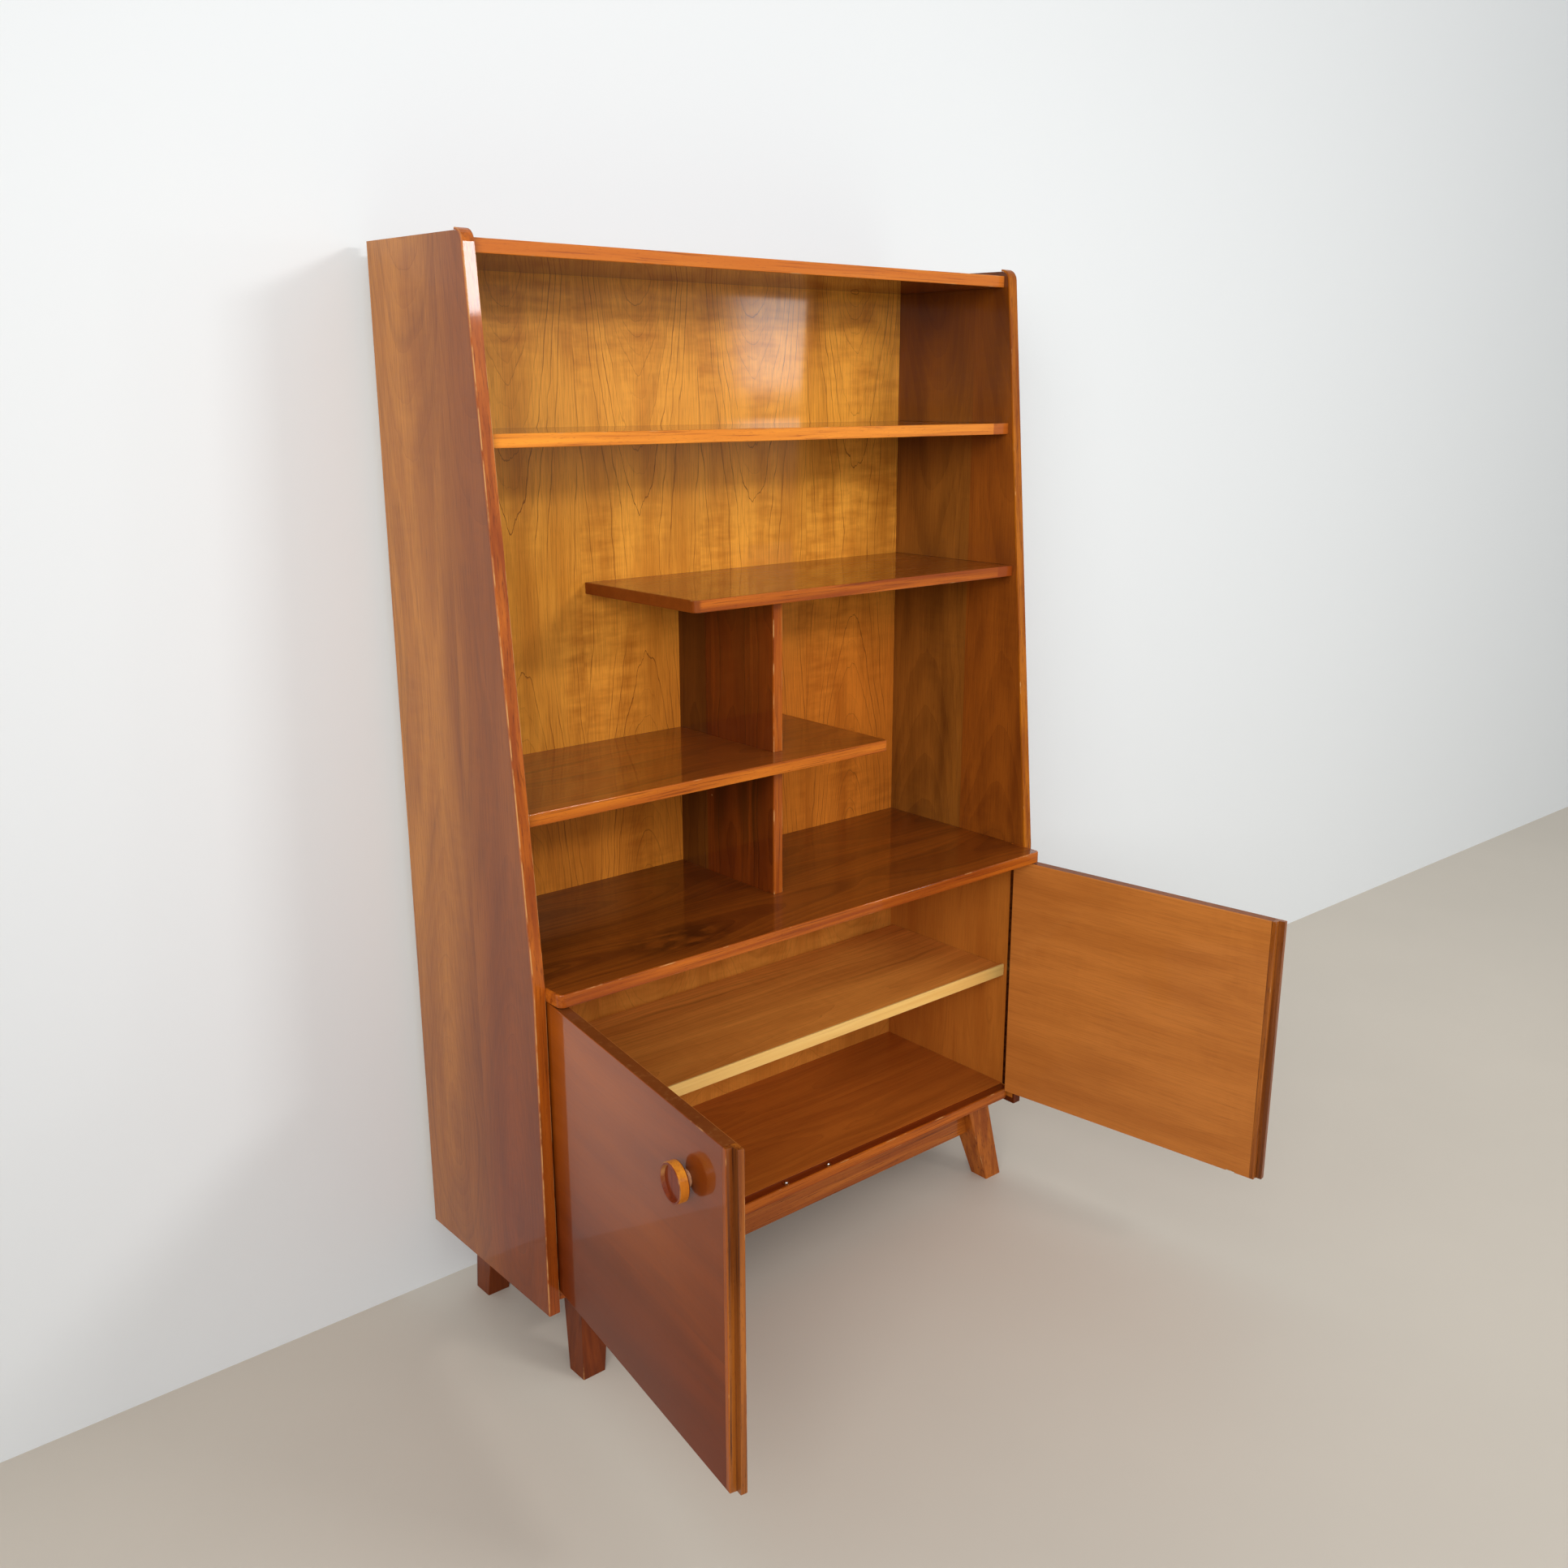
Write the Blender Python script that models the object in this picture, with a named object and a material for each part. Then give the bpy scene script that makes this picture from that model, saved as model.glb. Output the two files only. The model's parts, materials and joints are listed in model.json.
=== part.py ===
"""Highboard: an open bookcase with leaning sides over a two-door cupboard, on splayed tapered legs.

X runs to the right, Y to the back and Z up from the floor. While it is built, x = 0 is the middle of
the case and y = 0 is the lower front edge of the sides. At the end the whole piece is moved so that
the origin is the middle of its bounding box on the floor. Both doors stand open, as they do at rest.
"""
import math

import bmesh
import bpy
from mathutils import Matrix, Vector

MM = 0.001

# Clearance between pieces that touch, are glued or are cut to fit each other
GAP = 0.3 * MM

# Case
WIDTH = 1080 * MM
HEIGHT = 1695 * MM
DEPTH = 362 * MM
SIDE = 19 * MM
SIDE_FOOT = 137 * MM
LEAN = 90 * MM
CROWN_RADIUS = 20 * MM
LIPPING = 3.5 * MM
ARRIS = 1.2 * MM

# Boards, with the heights of their upper faces
BOARD = 19 * MM
PLANK = 20 * MM
TOP_DROP = 11.5 * MM
UPPER_SHELF_TOP = 1435 * MM
RIGHT_SHELF_TOP = 1185.5 * MM
LEFT_SHELF_TOP = 914 * MM
WORKTOP_TOP = 666 * MM
SHELF_SETBACK = 12.5 * MM
LEFT_SHELF_SETBACK = 19 * MM
HALF_SHELF_LENGTH = 720 * MM
HALF_SHELF_RADIUS = 10 * MM
WORKTOP_OVERHANG = 38 * MM
WORKTOP_RADIUS = 10 * MM
WORKTOP_WRAP = 30 * MM
DIVIDER_FRONT = 99 * MM

# Back panels in a rebate of the sides
UPPER_BACK = 5.5 * MM
LOWER_BACK = 11 * MM
REBATE = 10 * MM

# Cupboard floor, with the ledge that the shut doors stand over
FLOOR_TOP = 170 * MM
LEDGE_DROP = 2 * MM
FLOOR_RADIUS = 14 * MM

# Doors, inset behind the front of the sides and lapped at the middle
DOOR_FRONT = 12 * MM
DOOR = 20 * MM
DOOR_GAP = 2 * MM
DOOR_STOP_GAP = 0.5 * MM
LAP = 10 * MM
LAP_GAP = 1 * MM
LAP_PLAY = 1 * MM
EDGE_STRIP = 8 * MM
DOOR_OPEN = math.radians(98)

# Continuous hinges with rolled leaves
LEAF = 0.7 * MM
LEAF_WIDTH = 20 * MM
PIN_RADIUS = 0.7 * MM
PIN_CLEARANCE = 0.3 * MM
KNUCKLE_COUNT = 12
CURL_TURN = math.radians(270)

# Turned knobs
KNOB_FROM_CENTRE = 98 * MM
KNOB_DROP = 81 * MM
KNOB_RADIUS = 26.5 * MM
KNOB_HEAD = 14 * MM
KNOB_RECESS = 5 * MM
KNOB_DRAFT = 1.5 * MM
KNOB_RIM = 3 * MM
KNOB_EASE = 1 * MM
STEM_LENGTH = 11 * MM
STEM_RADIUS = 11 * MM
STEM_WAIST = 10 * MM
TENON_RADIUS = 6 * MM
TENON_LENGTH = 11 * MM
HEAD_TENON = 6 * MM

# Ball catches in the ledge and their strikes under the doors
CATCH_FROM_CENTRE = 49 * MM
CATCH_BARREL = 5.5 * MM
CATCH_LENGTH = 15 * MM
CATCH_FLANGE = 6.5 * MM
CATCH_RIM = 0.8 * MM
CATCH_BORE = 3.7 * MM
CATCH_FLOOR = 2 * MM
BALL_RADIUS = 3.3 * MM
BALL_RISE = 2.3 * MM
SPRING_WIRE = 0.35 * MM
SPRING_RADIUS = 2.6 * MM
SPRING_TURNS = 4
STRIKE_WIDTH = 16 * MM
STRIKE_REACH = 7 * MM
STRIKE_PLATE = 0.8 * MM
STRIKE_HOLE = 2.4 * MM

# Loose shelf of the cupboard and the pins that it lies on
LOOSE_SHELF_TOP = 415.5 * MM
LOOSE_SHELF_FRONT = 38 * MM
LOOSE_SHELF_BACK_GAP = 11 * MM
LOOSE_SHELF_SIDE_GAP = 1.2 * MM
LOOSE_LIP = 4.5 * MM
LOOSE_LIP_RISE = 4 * MM
SHELF_PIN_RADIUS = 3 * MM
SHELF_PIN_REACH = 12 * MM
SHELF_PIN_SEAT = 10 * MM
SHELF_PIN_FRONT = 77 * MM
SHELF_PIN_BACK_INSET = 51 * MM

# Base frame: legs taper towards the floor, and the front pair also rakes forward
LEG_FOOT = 40 * MM
LEG_HEAD = 55 * MM
LEG_INSET = 54 * MM
LEG_SPLAY = 16 * MM
FRONT_LEG_FRONT = -2 * MM
FRONT_LEG_RAKE = 24 * MM
REAR_LEG_INSET = 14 * MM
RAIL = 20 * MM
RAIL_HEIGHT = 56 * MM
FRONT_RAIL_FRONT = 37 * MM
REAR_RAIL_SETBACK = 17 * MM
SIDE_RAIL_INSET = 82 * MM

# Housings: boards are let into the sides, and dividers into the boards, stopped short of the front
HOUSING = 6 * MM
DIVIDER_HOUSING = 5 * MM
HOUSING_STOP = 20 * MM

# Facets on round pieces
KNOB_SIDES = 40
BALL_SIDES = 12
BARREL_SIDES = 20
PIN_SIDES = 10
CURL_STEPS = 8
CORNER_STEPS = 5
COIL_STEPS = 9
ARRIS_STEPS = 2

# Derived places
HALF = WIDTH / 2
INNER = HALF - SIDE
BOARD_END = INNER - GAP
HOUSED_END = INNER + HOUSING - GAP
BACK_FACE = DEPTH - UPPER_BACK
LOWER_BACK_FACE = DEPTH - LOWER_BACK
LEDGE_TOP = FLOOR_TOP - LEDGE_DROP
FLOOR_UNDER = LEDGE_TOP - PLANK
WORKTOP_UNDER = WORKTOP_TOP - PLANK
TOP_BOARD_TOP = HEIGHT - TOP_DROP
DOOR_BOTTOM = LEDGE_TOP + DOOR_GAP
DOOR_TOP = WORKTOP_UNDER - DOOR_GAP
DOOR_BACK = DOOR_FRONT + DOOR
CURL_BORE = PIN_RADIUS + PIN_CLEARANCE
CURL_RADIUS = CURL_BORE + LEAF
HINGE_GAP = 2 * (GAP + CURL_RADIUS)
AXIS_X = INNER - HINGE_GAP / 2
AXIS_Y = DOOR_FRONT - CURL_RADIUS - GAP
DOOR_HINGE_EDGE = INNER - HINGE_GAP
CATCH_Y = DOOR_FRONT + DOOR / 2
RAIL_TOP = FLOOR_UNDER - GAP
REAR_LEG_FRONT = DEPTH - REAR_LEG_INSET - LEG_HEAD

# Finishes: colour, roughness and metallic value
RED_BROWN = ((0.26, 0.085, 0.035), 0.22, 0.0)
ORANGE_BROWN = ((0.40, 0.15, 0.04), 0.25, 0.0)
GOLDEN = ((0.50, 0.24, 0.06), 0.25, 0.0)
SHELF_BROWN = ((0.30, 0.11, 0.035), 0.18, 0.0)
INSIDE_BROWN = ((0.45, 0.21, 0.07), 0.35, 0.0)
PALE_YELLOW = ((0.72, 0.45, 0.13), 0.35, 0.0)
BEECH = ((0.55, 0.36, 0.18), 0.55, 0.0)
BRASS = ((0.60, 0.42, 0.16), 0.30, 1.0)
STEEL = ((0.55, 0.55, 0.56), 0.25, 1.0)
DARK_BRASS = ((0.16, 0.11, 0.06), 0.40, 1.0)

holes = {}


def arc(centre, radius, start, end, steps):
    """Points along an arc from angle start to angle end, both ends included."""
    angles = [start + (end - start) * i / steps for i in range(steps + 1)]
    return [(centre[0] + radius * math.cos(a), centre[1] + radius * math.sin(a)) for a in angles]


def prism(outline, axis, low, high, rims=(), posts=()):
    """Extrude an outline along an axis, easing the arrises of the given sides and corners.

    The outline is in (y, z) for X, in (x, z) for Y and in (x, y) for Z. Side i runs from corner i to
    the next one: rims are the sides whose two cap arrises are eased, and posts the eased corners.
    """
    place = {
        "X": lambda u, v, w: (w, u, v),
        "Y": lambda u, v, w: (u, w, v),
        "Z": lambda u, v, w: (u, v, w),
    }[axis]
    bm = bmesh.new()
    near = [bm.verts.new(place(u, v, low)) for u, v in outline]
    far = [bm.verts.new(place(u, v, high)) for u, v in outline]
    count = len(outline)
    bm.faces.new(near)
    bm.faces.new(far)
    for i in range(count):
        after = (i + 1) % count
        bm.faces.new((near[i], near[after], far[after], far[i]))
    bmesh.ops.recalc_face_normals(bm, faces=bm.faces)
    soft = [bm.edges.get((near[i], far[i])) for i in posts]
    for i in rims:
        after = (i + 1) % count
        soft += [bm.edges.get((near[i], near[after])), bm.edges.get((far[i], far[after]))]
    if soft:
        bmesh.ops.bevel(bm, geom=soft, offset=ARRIS, offset_type="OFFSET", segments=ARRIS_STEPS,
                        profile=0.5, affect="EDGES", clamp_overlap=True)
    return bm


def rectangle(low, high):
    """Corners of an upright rectangle, counter-clockwise from its low corner."""
    return [low, (high[0], low[1]), high, (low[0], high[1])]


def block(low, high):
    """Plain block between two opposite corners."""
    return prism(rectangle(low[:2], high[:2]), "Z", low[2], high[2])


def cylinder(start, end, radius, sides):
    """Closed cylinder from one point to another."""
    run = end - start
    bm = bmesh.new()
    bmesh.ops.create_cone(bm, cap_ends=True, segments=sides, radius1=radius, radius2=radius, depth=run.length)
    turn = run.to_track_quat("Z", "Y").to_matrix().to_4x4()
    bm.transform(Matrix.Translation((start + end) / 2) @ turn)
    return bm


def turned(profile, sides):
    """Turn a profile of (radius, height) points, which starts and ends on the axis, round Z."""
    bm = bmesh.new()
    rings = []
    for radius, height in profile:
        if radius == 0:
            rings.append([bm.verts.new((0, 0, height))])
            continue
        angles = [2 * math.pi * i / sides for i in range(sides)]
        rings.append([bm.verts.new((radius * math.cos(a), radius * math.sin(a), height)) for a in angles])
    for lower, upper in zip(rings, rings[1:]):
        for i in range(sides):
            after = (i + 1) % sides
            if len(lower) == 1:
                bm.faces.new((lower[0], upper[after], upper[i]))
            elif len(upper) == 1:
                bm.faces.new((lower[i], lower[after], upper[0]))
            else:
                bm.faces.new((lower[i], lower[after], upper[after], upper[i]))
    bmesh.ops.recalc_face_normals(bm, faces=bm.faces)
    return bm


def add_material(piece, finish):
    """Give a piece its own material."""
    colour, roughness, metallic = finish
    material = bpy.data.materials.new(piece.name)
    material.use_nodes = True
    shader = material.node_tree.nodes["Principled BSDF"]
    shader.inputs["Base Color"].default_value = (*colour, 1.0)
    shader.inputs["Roughness"].default_value = roughness
    shader.inputs["Metallic"].default_value = metallic
    material.diffuse_color = (*colour, 1.0)
    piece.data.materials.append(material)


def add_piece(name, parts, finish, parent, smooth=False):
    """Make one object of a list of closed meshes given in case coordinates, held by its parent."""
    whole = bmesh.new()
    for bm in parts:
        mesh = bpy.data.meshes.new(name)
        bm.to_mesh(mesh)
        bm.free()
        whole.from_mesh(mesh)
        bpy.data.meshes.remove(mesh)
    if parent is not case:
        whole.transform(Matrix.Translation(-parent.location))
    mesh = bpy.data.meshes.new(name)
    whole.to_mesh(mesh)
    whole.free()
    if smooth:
        mesh.shade_smooth()
        mesh.set_sharp_from_angle(angle=math.radians(40))
    piece = bpy.data.objects.new(name, mesh)
    bpy.context.scene.collection.objects.link(piece)
    piece.parent = parent
    add_material(piece, finish)
    return piece


def add_empty(name, place, parent):
    """Add an empty that carries pieces, for instance on a hinge's axis."""
    empty = bpy.data.objects.new(name, None)
    bpy.context.scene.collection.objects.link(empty)
    empty.location = place
    empty.parent = parent
    return empty


def carve(piece, cutters):
    """Cut closed meshes, given in case coordinates, out of a piece."""
    tool = add_piece(piece.name + "_tool", cutters, BEECH, case)
    tool.parent = None
    tool.location = -piece.parent.location if piece.parent is not case else Vector()
    piece_parent = piece.parent
    piece.parent = None
    modifier = piece.modifiers.new("Cut", "BOOLEAN")
    modifier.operation = "DIFFERENCE"
    modifier.solver = "EXACT"
    modifier.object = tool
    view = bpy.context.evaluated_depsgraph_get()
    shaped = bpy.data.meshes.new_from_object(piece.evaluated_get(view))
    piece.modifiers.remove(modifier)
    piece.data = shaped
    piece.parent = piece_parent
    bpy.data.objects.remove(tool, do_unlink=True)


def house_in_side(sign, front, back, low, high):
    """Note the housing in a side that takes the end of a board, from its stopped front to its back."""
    side = "left_side" if sign < 0 else "right_side"
    near, far = sorted((sign * (INNER - SIDE), sign * (INNER + HOUSING)))
    slot = block((near, front - GAP, low - GAP), (far, back + GAP, high + GAP))
    holes.setdefault(side, []).append(slot)


def front_of_side(level):
    """Depth of the sides' front edge at a height: upright, then leaning back above the worktop."""
    return LEAN * max(0.0, level - WORKTOP_TOP) / (HEIGHT - WORKTOP_TOP)


def side_front_outline(inset):
    """Points (y, z) up the front edge of a side and round its crown, moved inwards by inset."""
    slant = math.atan2(LEAN, HEIGHT - WORKTOP_TOP)
    run = CROWN_RADIUS - inset
    centre_z = HEIGHT - CROWN_RADIUS
    centre_y = front_of_side(centre_z) + CROWN_RADIUS / math.cos(slant)
    kink_y = inset
    kink_z = WORKTOP_TOP - inset * math.tan(slant / 2)
    crown = arc((centre_y, centre_z), run, math.pi - slant, math.pi / 2, CORNER_STEPS)
    return [(inset, SIDE_FOOT), (kink_y, kink_z)] + crown


def add_side(name, sign):
    """Side panel with its rebates for the back panels, and the lipping up its leaning front edge."""
    low, high = sorted((sign * HALF, sign * INNER))
    inner_line = side_front_outline(LIPPING + GAP)
    outline = inner_line + [(DEPTH, HEIGHT), (DEPTH, SIDE_FOOT)]
    panel = add_piece(name, [prism(outline, "X", low, high)], RED_BROWN, case)
    past = SIDE
    rebate_low, rebate_high = sorted((sign * (INNER + REBATE), sign * (INNER - past)))
    upper = block((rebate_low, BACK_FACE - GAP, WORKTOP_UNDER),
                  (rebate_high, DEPTH + past, TOP_BOARD_TOP + GAP))
    lower = block((rebate_low, LOWER_BACK_FACE - GAP, FLOOR_UNDER - GAP),
                  (rebate_high, DEPTH + past, WORKTOP_UNDER))
    carve(panel, [upper])
    carve(panel, [lower])
    outer_line = side_front_outline(0)
    strip = outer_line + side_front_outline(LIPPING)[::-1]
    add_piece(name + "_lipping", [prism(strip, "X", low, high, rims=range(len(outer_line) - 1))],
              ORANGE_BROWN, case)


def board_front(level):
    """Front of a shelf that follows the leaning sides, at the height of its middle."""
    return front_of_side(level - BOARD / 2) + SHELF_SETBACK


def add_full_shelf(name, top):
    """Fixed shelf housed in both sides, with a lipping along its front."""
    front = board_front(top)
    stop = front + HOUSING_STOP
    back = BACK_FACE - GAP
    right = [(BOARD_END, front + LIPPING + GAP), (BOARD_END, stop), (HOUSED_END, stop), (HOUSED_END, back)]
    core = right + [(-x, y) for x, y in reversed(right)]
    strip = rectangle((-BOARD_END, front), (BOARD_END, front + LIPPING))
    add_piece(name, [prism(core, "Z", top - BOARD, top)], SHELF_BROWN, case)
    add_piece(name + "_lipping", [prism(strip, "Z", top - BOARD, top, rims=[0])], ORANGE_BROWN, case)
    for sign in (-1, 1):
        house_in_side(sign, stop, back, top - BOARD, top)


def half_shelf_line(sign, front, inset):
    """Front and free end of a half shelf as points (x, y), with a rounded corner between them.

    The shelf starts at the side of the given sign and its free end points to the other side.
    """
    end = sign * (INNER - HALF_SHELF_LENGTH + inset)
    radius = HALF_SHELF_RADIUS - inset
    centre = (sign * (INNER - HALF_SHELF_LENGTH + HALF_SHELF_RADIUS), front + HALF_SHELF_RADIUS)
    corner = arc(centre, radius, -math.pi / 2, -math.pi / 2 - sign * math.pi / 2, CORNER_STEPS)
    return [(sign * BOARD_END, front + inset)] + corner + [(end, BACK_FACE - GAP)]


def add_half_shelf(name, sign, top, front):
    """Half shelf housed in one side, with one lipping round its front and its free end."""
    stop = front + HOUSING_STOP
    back = BACK_FACE - GAP
    core = half_shelf_line(sign, front, LIPPING + GAP)
    core += [(sign * HOUSED_END, back), (sign * HOUSED_END, stop), (sign * BOARD_END, stop)]
    outer = half_shelf_line(sign, front, 0)
    strip = outer + half_shelf_line(sign, front, LIPPING)[::-1]
    add_piece(name, [prism(core, "Z", top - BOARD, top)], SHELF_BROWN, case)
    add_piece(name + "_lipping", [prism(strip, "Z", top - BOARD, top, rims=range(len(outer) - 1))],
              ORANGE_BROWN, case)
    house_in_side(sign, stop, back, top - BOARD, top)


def rounded_front(front, radius, inset):
    """Front of a wide board as points (x, y), round its left corner and on round its right one."""
    run = radius - inset
    left = arc((-BOARD_END + radius, front + radius), run, math.pi, 1.5 * math.pi, CORNER_STEPS)
    return left + [(-x, y) for x, y in reversed(left)]


def rounded_core(front, radius, wrap, stop, back):
    """Outline of a wide board behind its lipping, which wraps its corners, with ends housed in the sides."""
    line = rounded_front(front, radius, LIPPING + GAP)
    neck = line[-1][0]
    right = [(neck, wrap + GAP), (BOARD_END, wrap + GAP), (BOARD_END, stop), (HOUSED_END, stop), (HOUSED_END, back)]
    return line + right + [(-x, y) for x, y in reversed(right)]


def add_worktop():
    """Worktop that stands out in front of the sides, with a lipping round its rounded front."""
    front = -WORKTOP_OVERHANG
    wrap = WORKTOP_WRAP
    stop = wrap + HOUSING_STOP
    back = BACK_FACE - GAP
    outer = [(-BOARD_END, wrap)] + rounded_front(front, WORKTOP_RADIUS, 0) + [(BOARD_END, wrap)]
    reach = BOARD_END - LIPPING
    inner = [(-reach, wrap)] + rounded_front(front, WORKTOP_RADIUS, LIPPING) + [(reach, wrap)]
    core = rounded_core(front, WORKTOP_RADIUS, wrap, stop, back)
    add_piece("worktop", [prism(core, "Z", WORKTOP_UNDER, WORKTOP_TOP)], SHELF_BROWN, case)
    add_piece("worktop_lipping", [prism(outer + inner[::-1], "Z", WORKTOP_UNDER, WORKTOP_TOP,
                                        rims=range(len(outer) - 1))], ORANGE_BROWN, case)
    for sign in (-1, 1):
        house_in_side(sign, stop, back, WORKTOP_UNDER, WORKTOP_TOP)


def add_bottom_board():
    """Cupboard floor: its front is a ledge, a step lower, over which the shut doors stand."""
    front = DOOR_FRONT
    stop = DOOR_BACK + HOUSING_STOP
    back = LOWER_BACK_FACE - GAP
    outer = rounded_front(front, FLOOR_RADIUS, 0)
    inner = rounded_front(front, FLOOR_RADIUS, LIPPING)
    core = rounded_core(front, FLOOR_RADIUS, front + FLOOR_RADIUS, stop, back)
    board = add_piece("bottom_board", [prism(core, "Z", FLOOR_UNDER, FLOOR_TOP)], SHELF_BROWN, case)
    step = block((-WIDTH, -DEPTH, LEDGE_TOP), (WIDTH, DOOR_BACK + DOOR_STOP_GAP, FLOOR_TOP + LEDGE_DROP))
    carve(board, [step])
    add_piece("bottom_board_lipping", [prism(outer + inner[::-1], "Z", FLOOR_UNDER, LEDGE_TOP,
                                             rims=range(len(outer) - 1))], ORANGE_BROWN, case)
    for sign in (-1, 1):
        house_in_side(sign, stop, back, FLOOR_UNDER, FLOOR_TOP)


def add_divider(name, low, high, below, above):
    """Upright divider in the middle, lipped at the front and housed in the boards that it stands between."""
    half = BOARD / 2
    front = DIVIDER_FRONT + LIPPING + GAP
    stop = DIVIDER_FRONT + HOUSING_STOP
    back = BACK_FACE - GAP
    foot = low - DIVIDER_HOUSING
    head = high + DIVIDER_HOUSING
    core = [(front, low + GAP), (stop, low + GAP), (stop, foot + GAP), (back, foot + GAP),
            (back, head - GAP), (stop, head - GAP), (stop, high - GAP), (front, high - GAP)]
    strip = rectangle((-half, DIVIDER_FRONT), (half, DIVIDER_FRONT + LIPPING))
    add_piece(name, [prism(core, "X", -half, half)], SHELF_BROWN, case)
    add_piece(name + "_lipping", [prism(strip, "Z", low + GAP, high - GAP, posts=[0, 1])], ORANGE_BROWN, case)
    for board, bottom, top in ((below, foot, low + BOARD), (above, high - BOARD, head)):
        slot = block((-half - GAP, stop - GAP, bottom), (half + GAP, back + GAP, top))
        holes.setdefault(board, []).append(slot)


def add_backs():
    """Two back panels in the rebates of the sides: a thin one for the bookcase and one for the cupboard."""
    reach = INNER + REBATE - GAP
    upper = block((-reach, BACK_FACE, WORKTOP_UNDER + GAP), (reach, DEPTH, TOP_BOARD_TOP))
    lower = block((-reach, LOWER_BACK_FACE, FLOOR_UNDER), (reach, DEPTH, WORKTOP_UNDER - GAP))
    add_piece("upper_back", [upper], GOLDEN, case)
    add_piece("lower_back", [lower], INSIDE_BROWN, case)


def add_loose_shelf():
    """Cupboard shelf with a pale lip that stands above it, lying on four pins in the sides."""
    reach = INNER - LOOSE_SHELF_SIDE_GAP
    under = LOOSE_SHELF_TOP - BOARD
    front = LOOSE_SHELF_FRONT
    core = block((-reach, front + LOOSE_LIP + GAP, under),
                 (reach, LOWER_BACK_FACE - LOOSE_SHELF_BACK_GAP, LOOSE_SHELF_TOP))
    lip = rectangle((front, under), (front + LOOSE_LIP, LOOSE_SHELF_TOP + LOOSE_LIP_RISE))
    add_piece("cupboard_shelf", [core], INSIDE_BROWN, case)
    add_piece("cupboard_shelf_lipping", [prism(lip, "X", -reach, reach, posts=[0, 2, 3])], PALE_YELLOW, case)
    level = under - GAP - SHELF_PIN_RADIUS
    for side, sign in (("left", -1), ("right", 1)):
        for end, y in (("front", SHELF_PIN_FRONT), ("rear", LOWER_BACK_FACE - SHELF_PIN_BACK_INSET)):
            seat = Vector((sign * (INNER + SHELF_PIN_SEAT), y, level))
            tip = Vector((sign * (INNER - SHELF_PIN_REACH), y, level))
            pin = cylinder(seat, tip, SHELF_PIN_RADIUS, PIN_SIDES)
            add_piece(f"{end}_{side}_shelf_pin", [pin], BEECH, case, smooth=True)
            bottom = seat + Vector((sign * GAP, 0, 0))
            hole = cylinder(bottom, tip, SHELF_PIN_RADIUS + GAP, PIN_SIDES)
            holes.setdefault(f"{side}_side", []).append(hole)


def leaf_outline(sign):
    """Section of a rolled hinge leaf about the pin, its plate on the side that sign points to."""
    start = math.pi if sign < 0 else 0.0
    end = start - sign * CURL_TURN
    outer = arc((0, 0), CURL_RADIUS, start, end, CURL_STEPS)
    inner = arc((0, 0), CURL_BORE, end, start, CURL_STEPS)
    return [(sign * CURL_RADIUS, LEAF_WIDTH)] + outer + inner + [(sign * CURL_BORE, LEAF_WIDTH)]


def add_leaf(name, sign, hinge_x, first, parent):
    """Hinge leaf whose knuckles are cut away where the other leaf's knuckles sit."""
    outline = [(hinge_x + x, AXIS_Y + y) for x, y in leaf_outline(sign)]
    leaf = add_piece(name, [prism(outline, "Z", DOOR_BOTTOM, DOOR_TOP)], DARK_BRASS, parent)
    pitch = (DOOR_TOP - DOOR_BOTTOM) / KNUCKLE_COUNT
    reach = 2 * CURL_RADIUS
    notches = []
    for i in range(first, KNUCKLE_COUNT, 2):
        low = DOOR_BOTTOM + i * pitch - (GAP / 2 if i else GAP)
        high = DOOR_BOTTOM + (i + 1) * pitch + (GAP / 2 if i + 1 < KNUCKLE_COUNT else GAP)
        notches.append(block((hinge_x - reach, AXIS_Y - reach, low),
                             (hinge_x + reach, AXIS_Y + CURL_RADIUS + GAP, high)))
    carve(leaf, notches)


def add_knob(side, x, hinge):
    """Turned knob head with a sunk face on a waisted stem, whose tenons sit in the head and the door."""
    mouth = KNOB_RADIUS - KNOB_RIM
    floor = KNOB_HEAD - KNOB_RECESS
    head = [(0, HEAD_TENON + GAP), (TENON_RADIUS + GAP, HEAD_TENON + GAP), (TENON_RADIUS + GAP, 0),
            (KNOB_RADIUS - KNOB_EASE, 0), (KNOB_RADIUS, KNOB_EASE), (KNOB_RADIUS, KNOB_HEAD - KNOB_EASE),
            (KNOB_RADIUS - KNOB_EASE, KNOB_HEAD), (mouth, KNOB_HEAD), (mouth - KNOB_DRAFT, floor), (0, floor)]
    stem = [(0, -TENON_LENGTH), (TENON_RADIUS, -TENON_LENGTH), (TENON_RADIUS, GAP), (STEM_RADIUS, GAP),
            (STEM_WAIST, STEM_LENGTH / 3), (STEM_WAIST, 2 * STEM_LENGTH / 3), (STEM_RADIUS, STEM_LENGTH - GAP),
            (TENON_RADIUS, STEM_LENGTH - GAP), (TENON_RADIUS, STEM_LENGTH + HEAD_TENON),
            (0, STEM_LENGTH + HEAD_TENON)]
    outwards = Matrix.Rotation(math.pi / 2, 4, "X")
    foot = Matrix.Translation((x, DOOR_FRONT, DOOR_TOP - KNOB_DROP)) @ outwards
    for name, profile, lift, finish in (("knob", head, STEM_LENGTH, RED_BROWN), ("knob_stem", stem, 0, ORANGE_BROWN)):
        bm = turned(profile, KNOB_SIDES)
        bm.transform(foot @ Matrix.Translation((0, 0, lift)))
        add_piece(f"{side}_{name}", [bm], finish, hinge, smooth=True)
    outside = Vector((x, DOOR_FRONT - DOOR, DOOR_TOP - KNOB_DROP))
    bottom = Vector((x, DOOR_FRONT + TENON_LENGTH + GAP, DOOR_TOP - KNOB_DROP))
    return cylinder(outside, bottom, TENON_RADIUS + GAP, KNOB_SIDES // 2)


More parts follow.
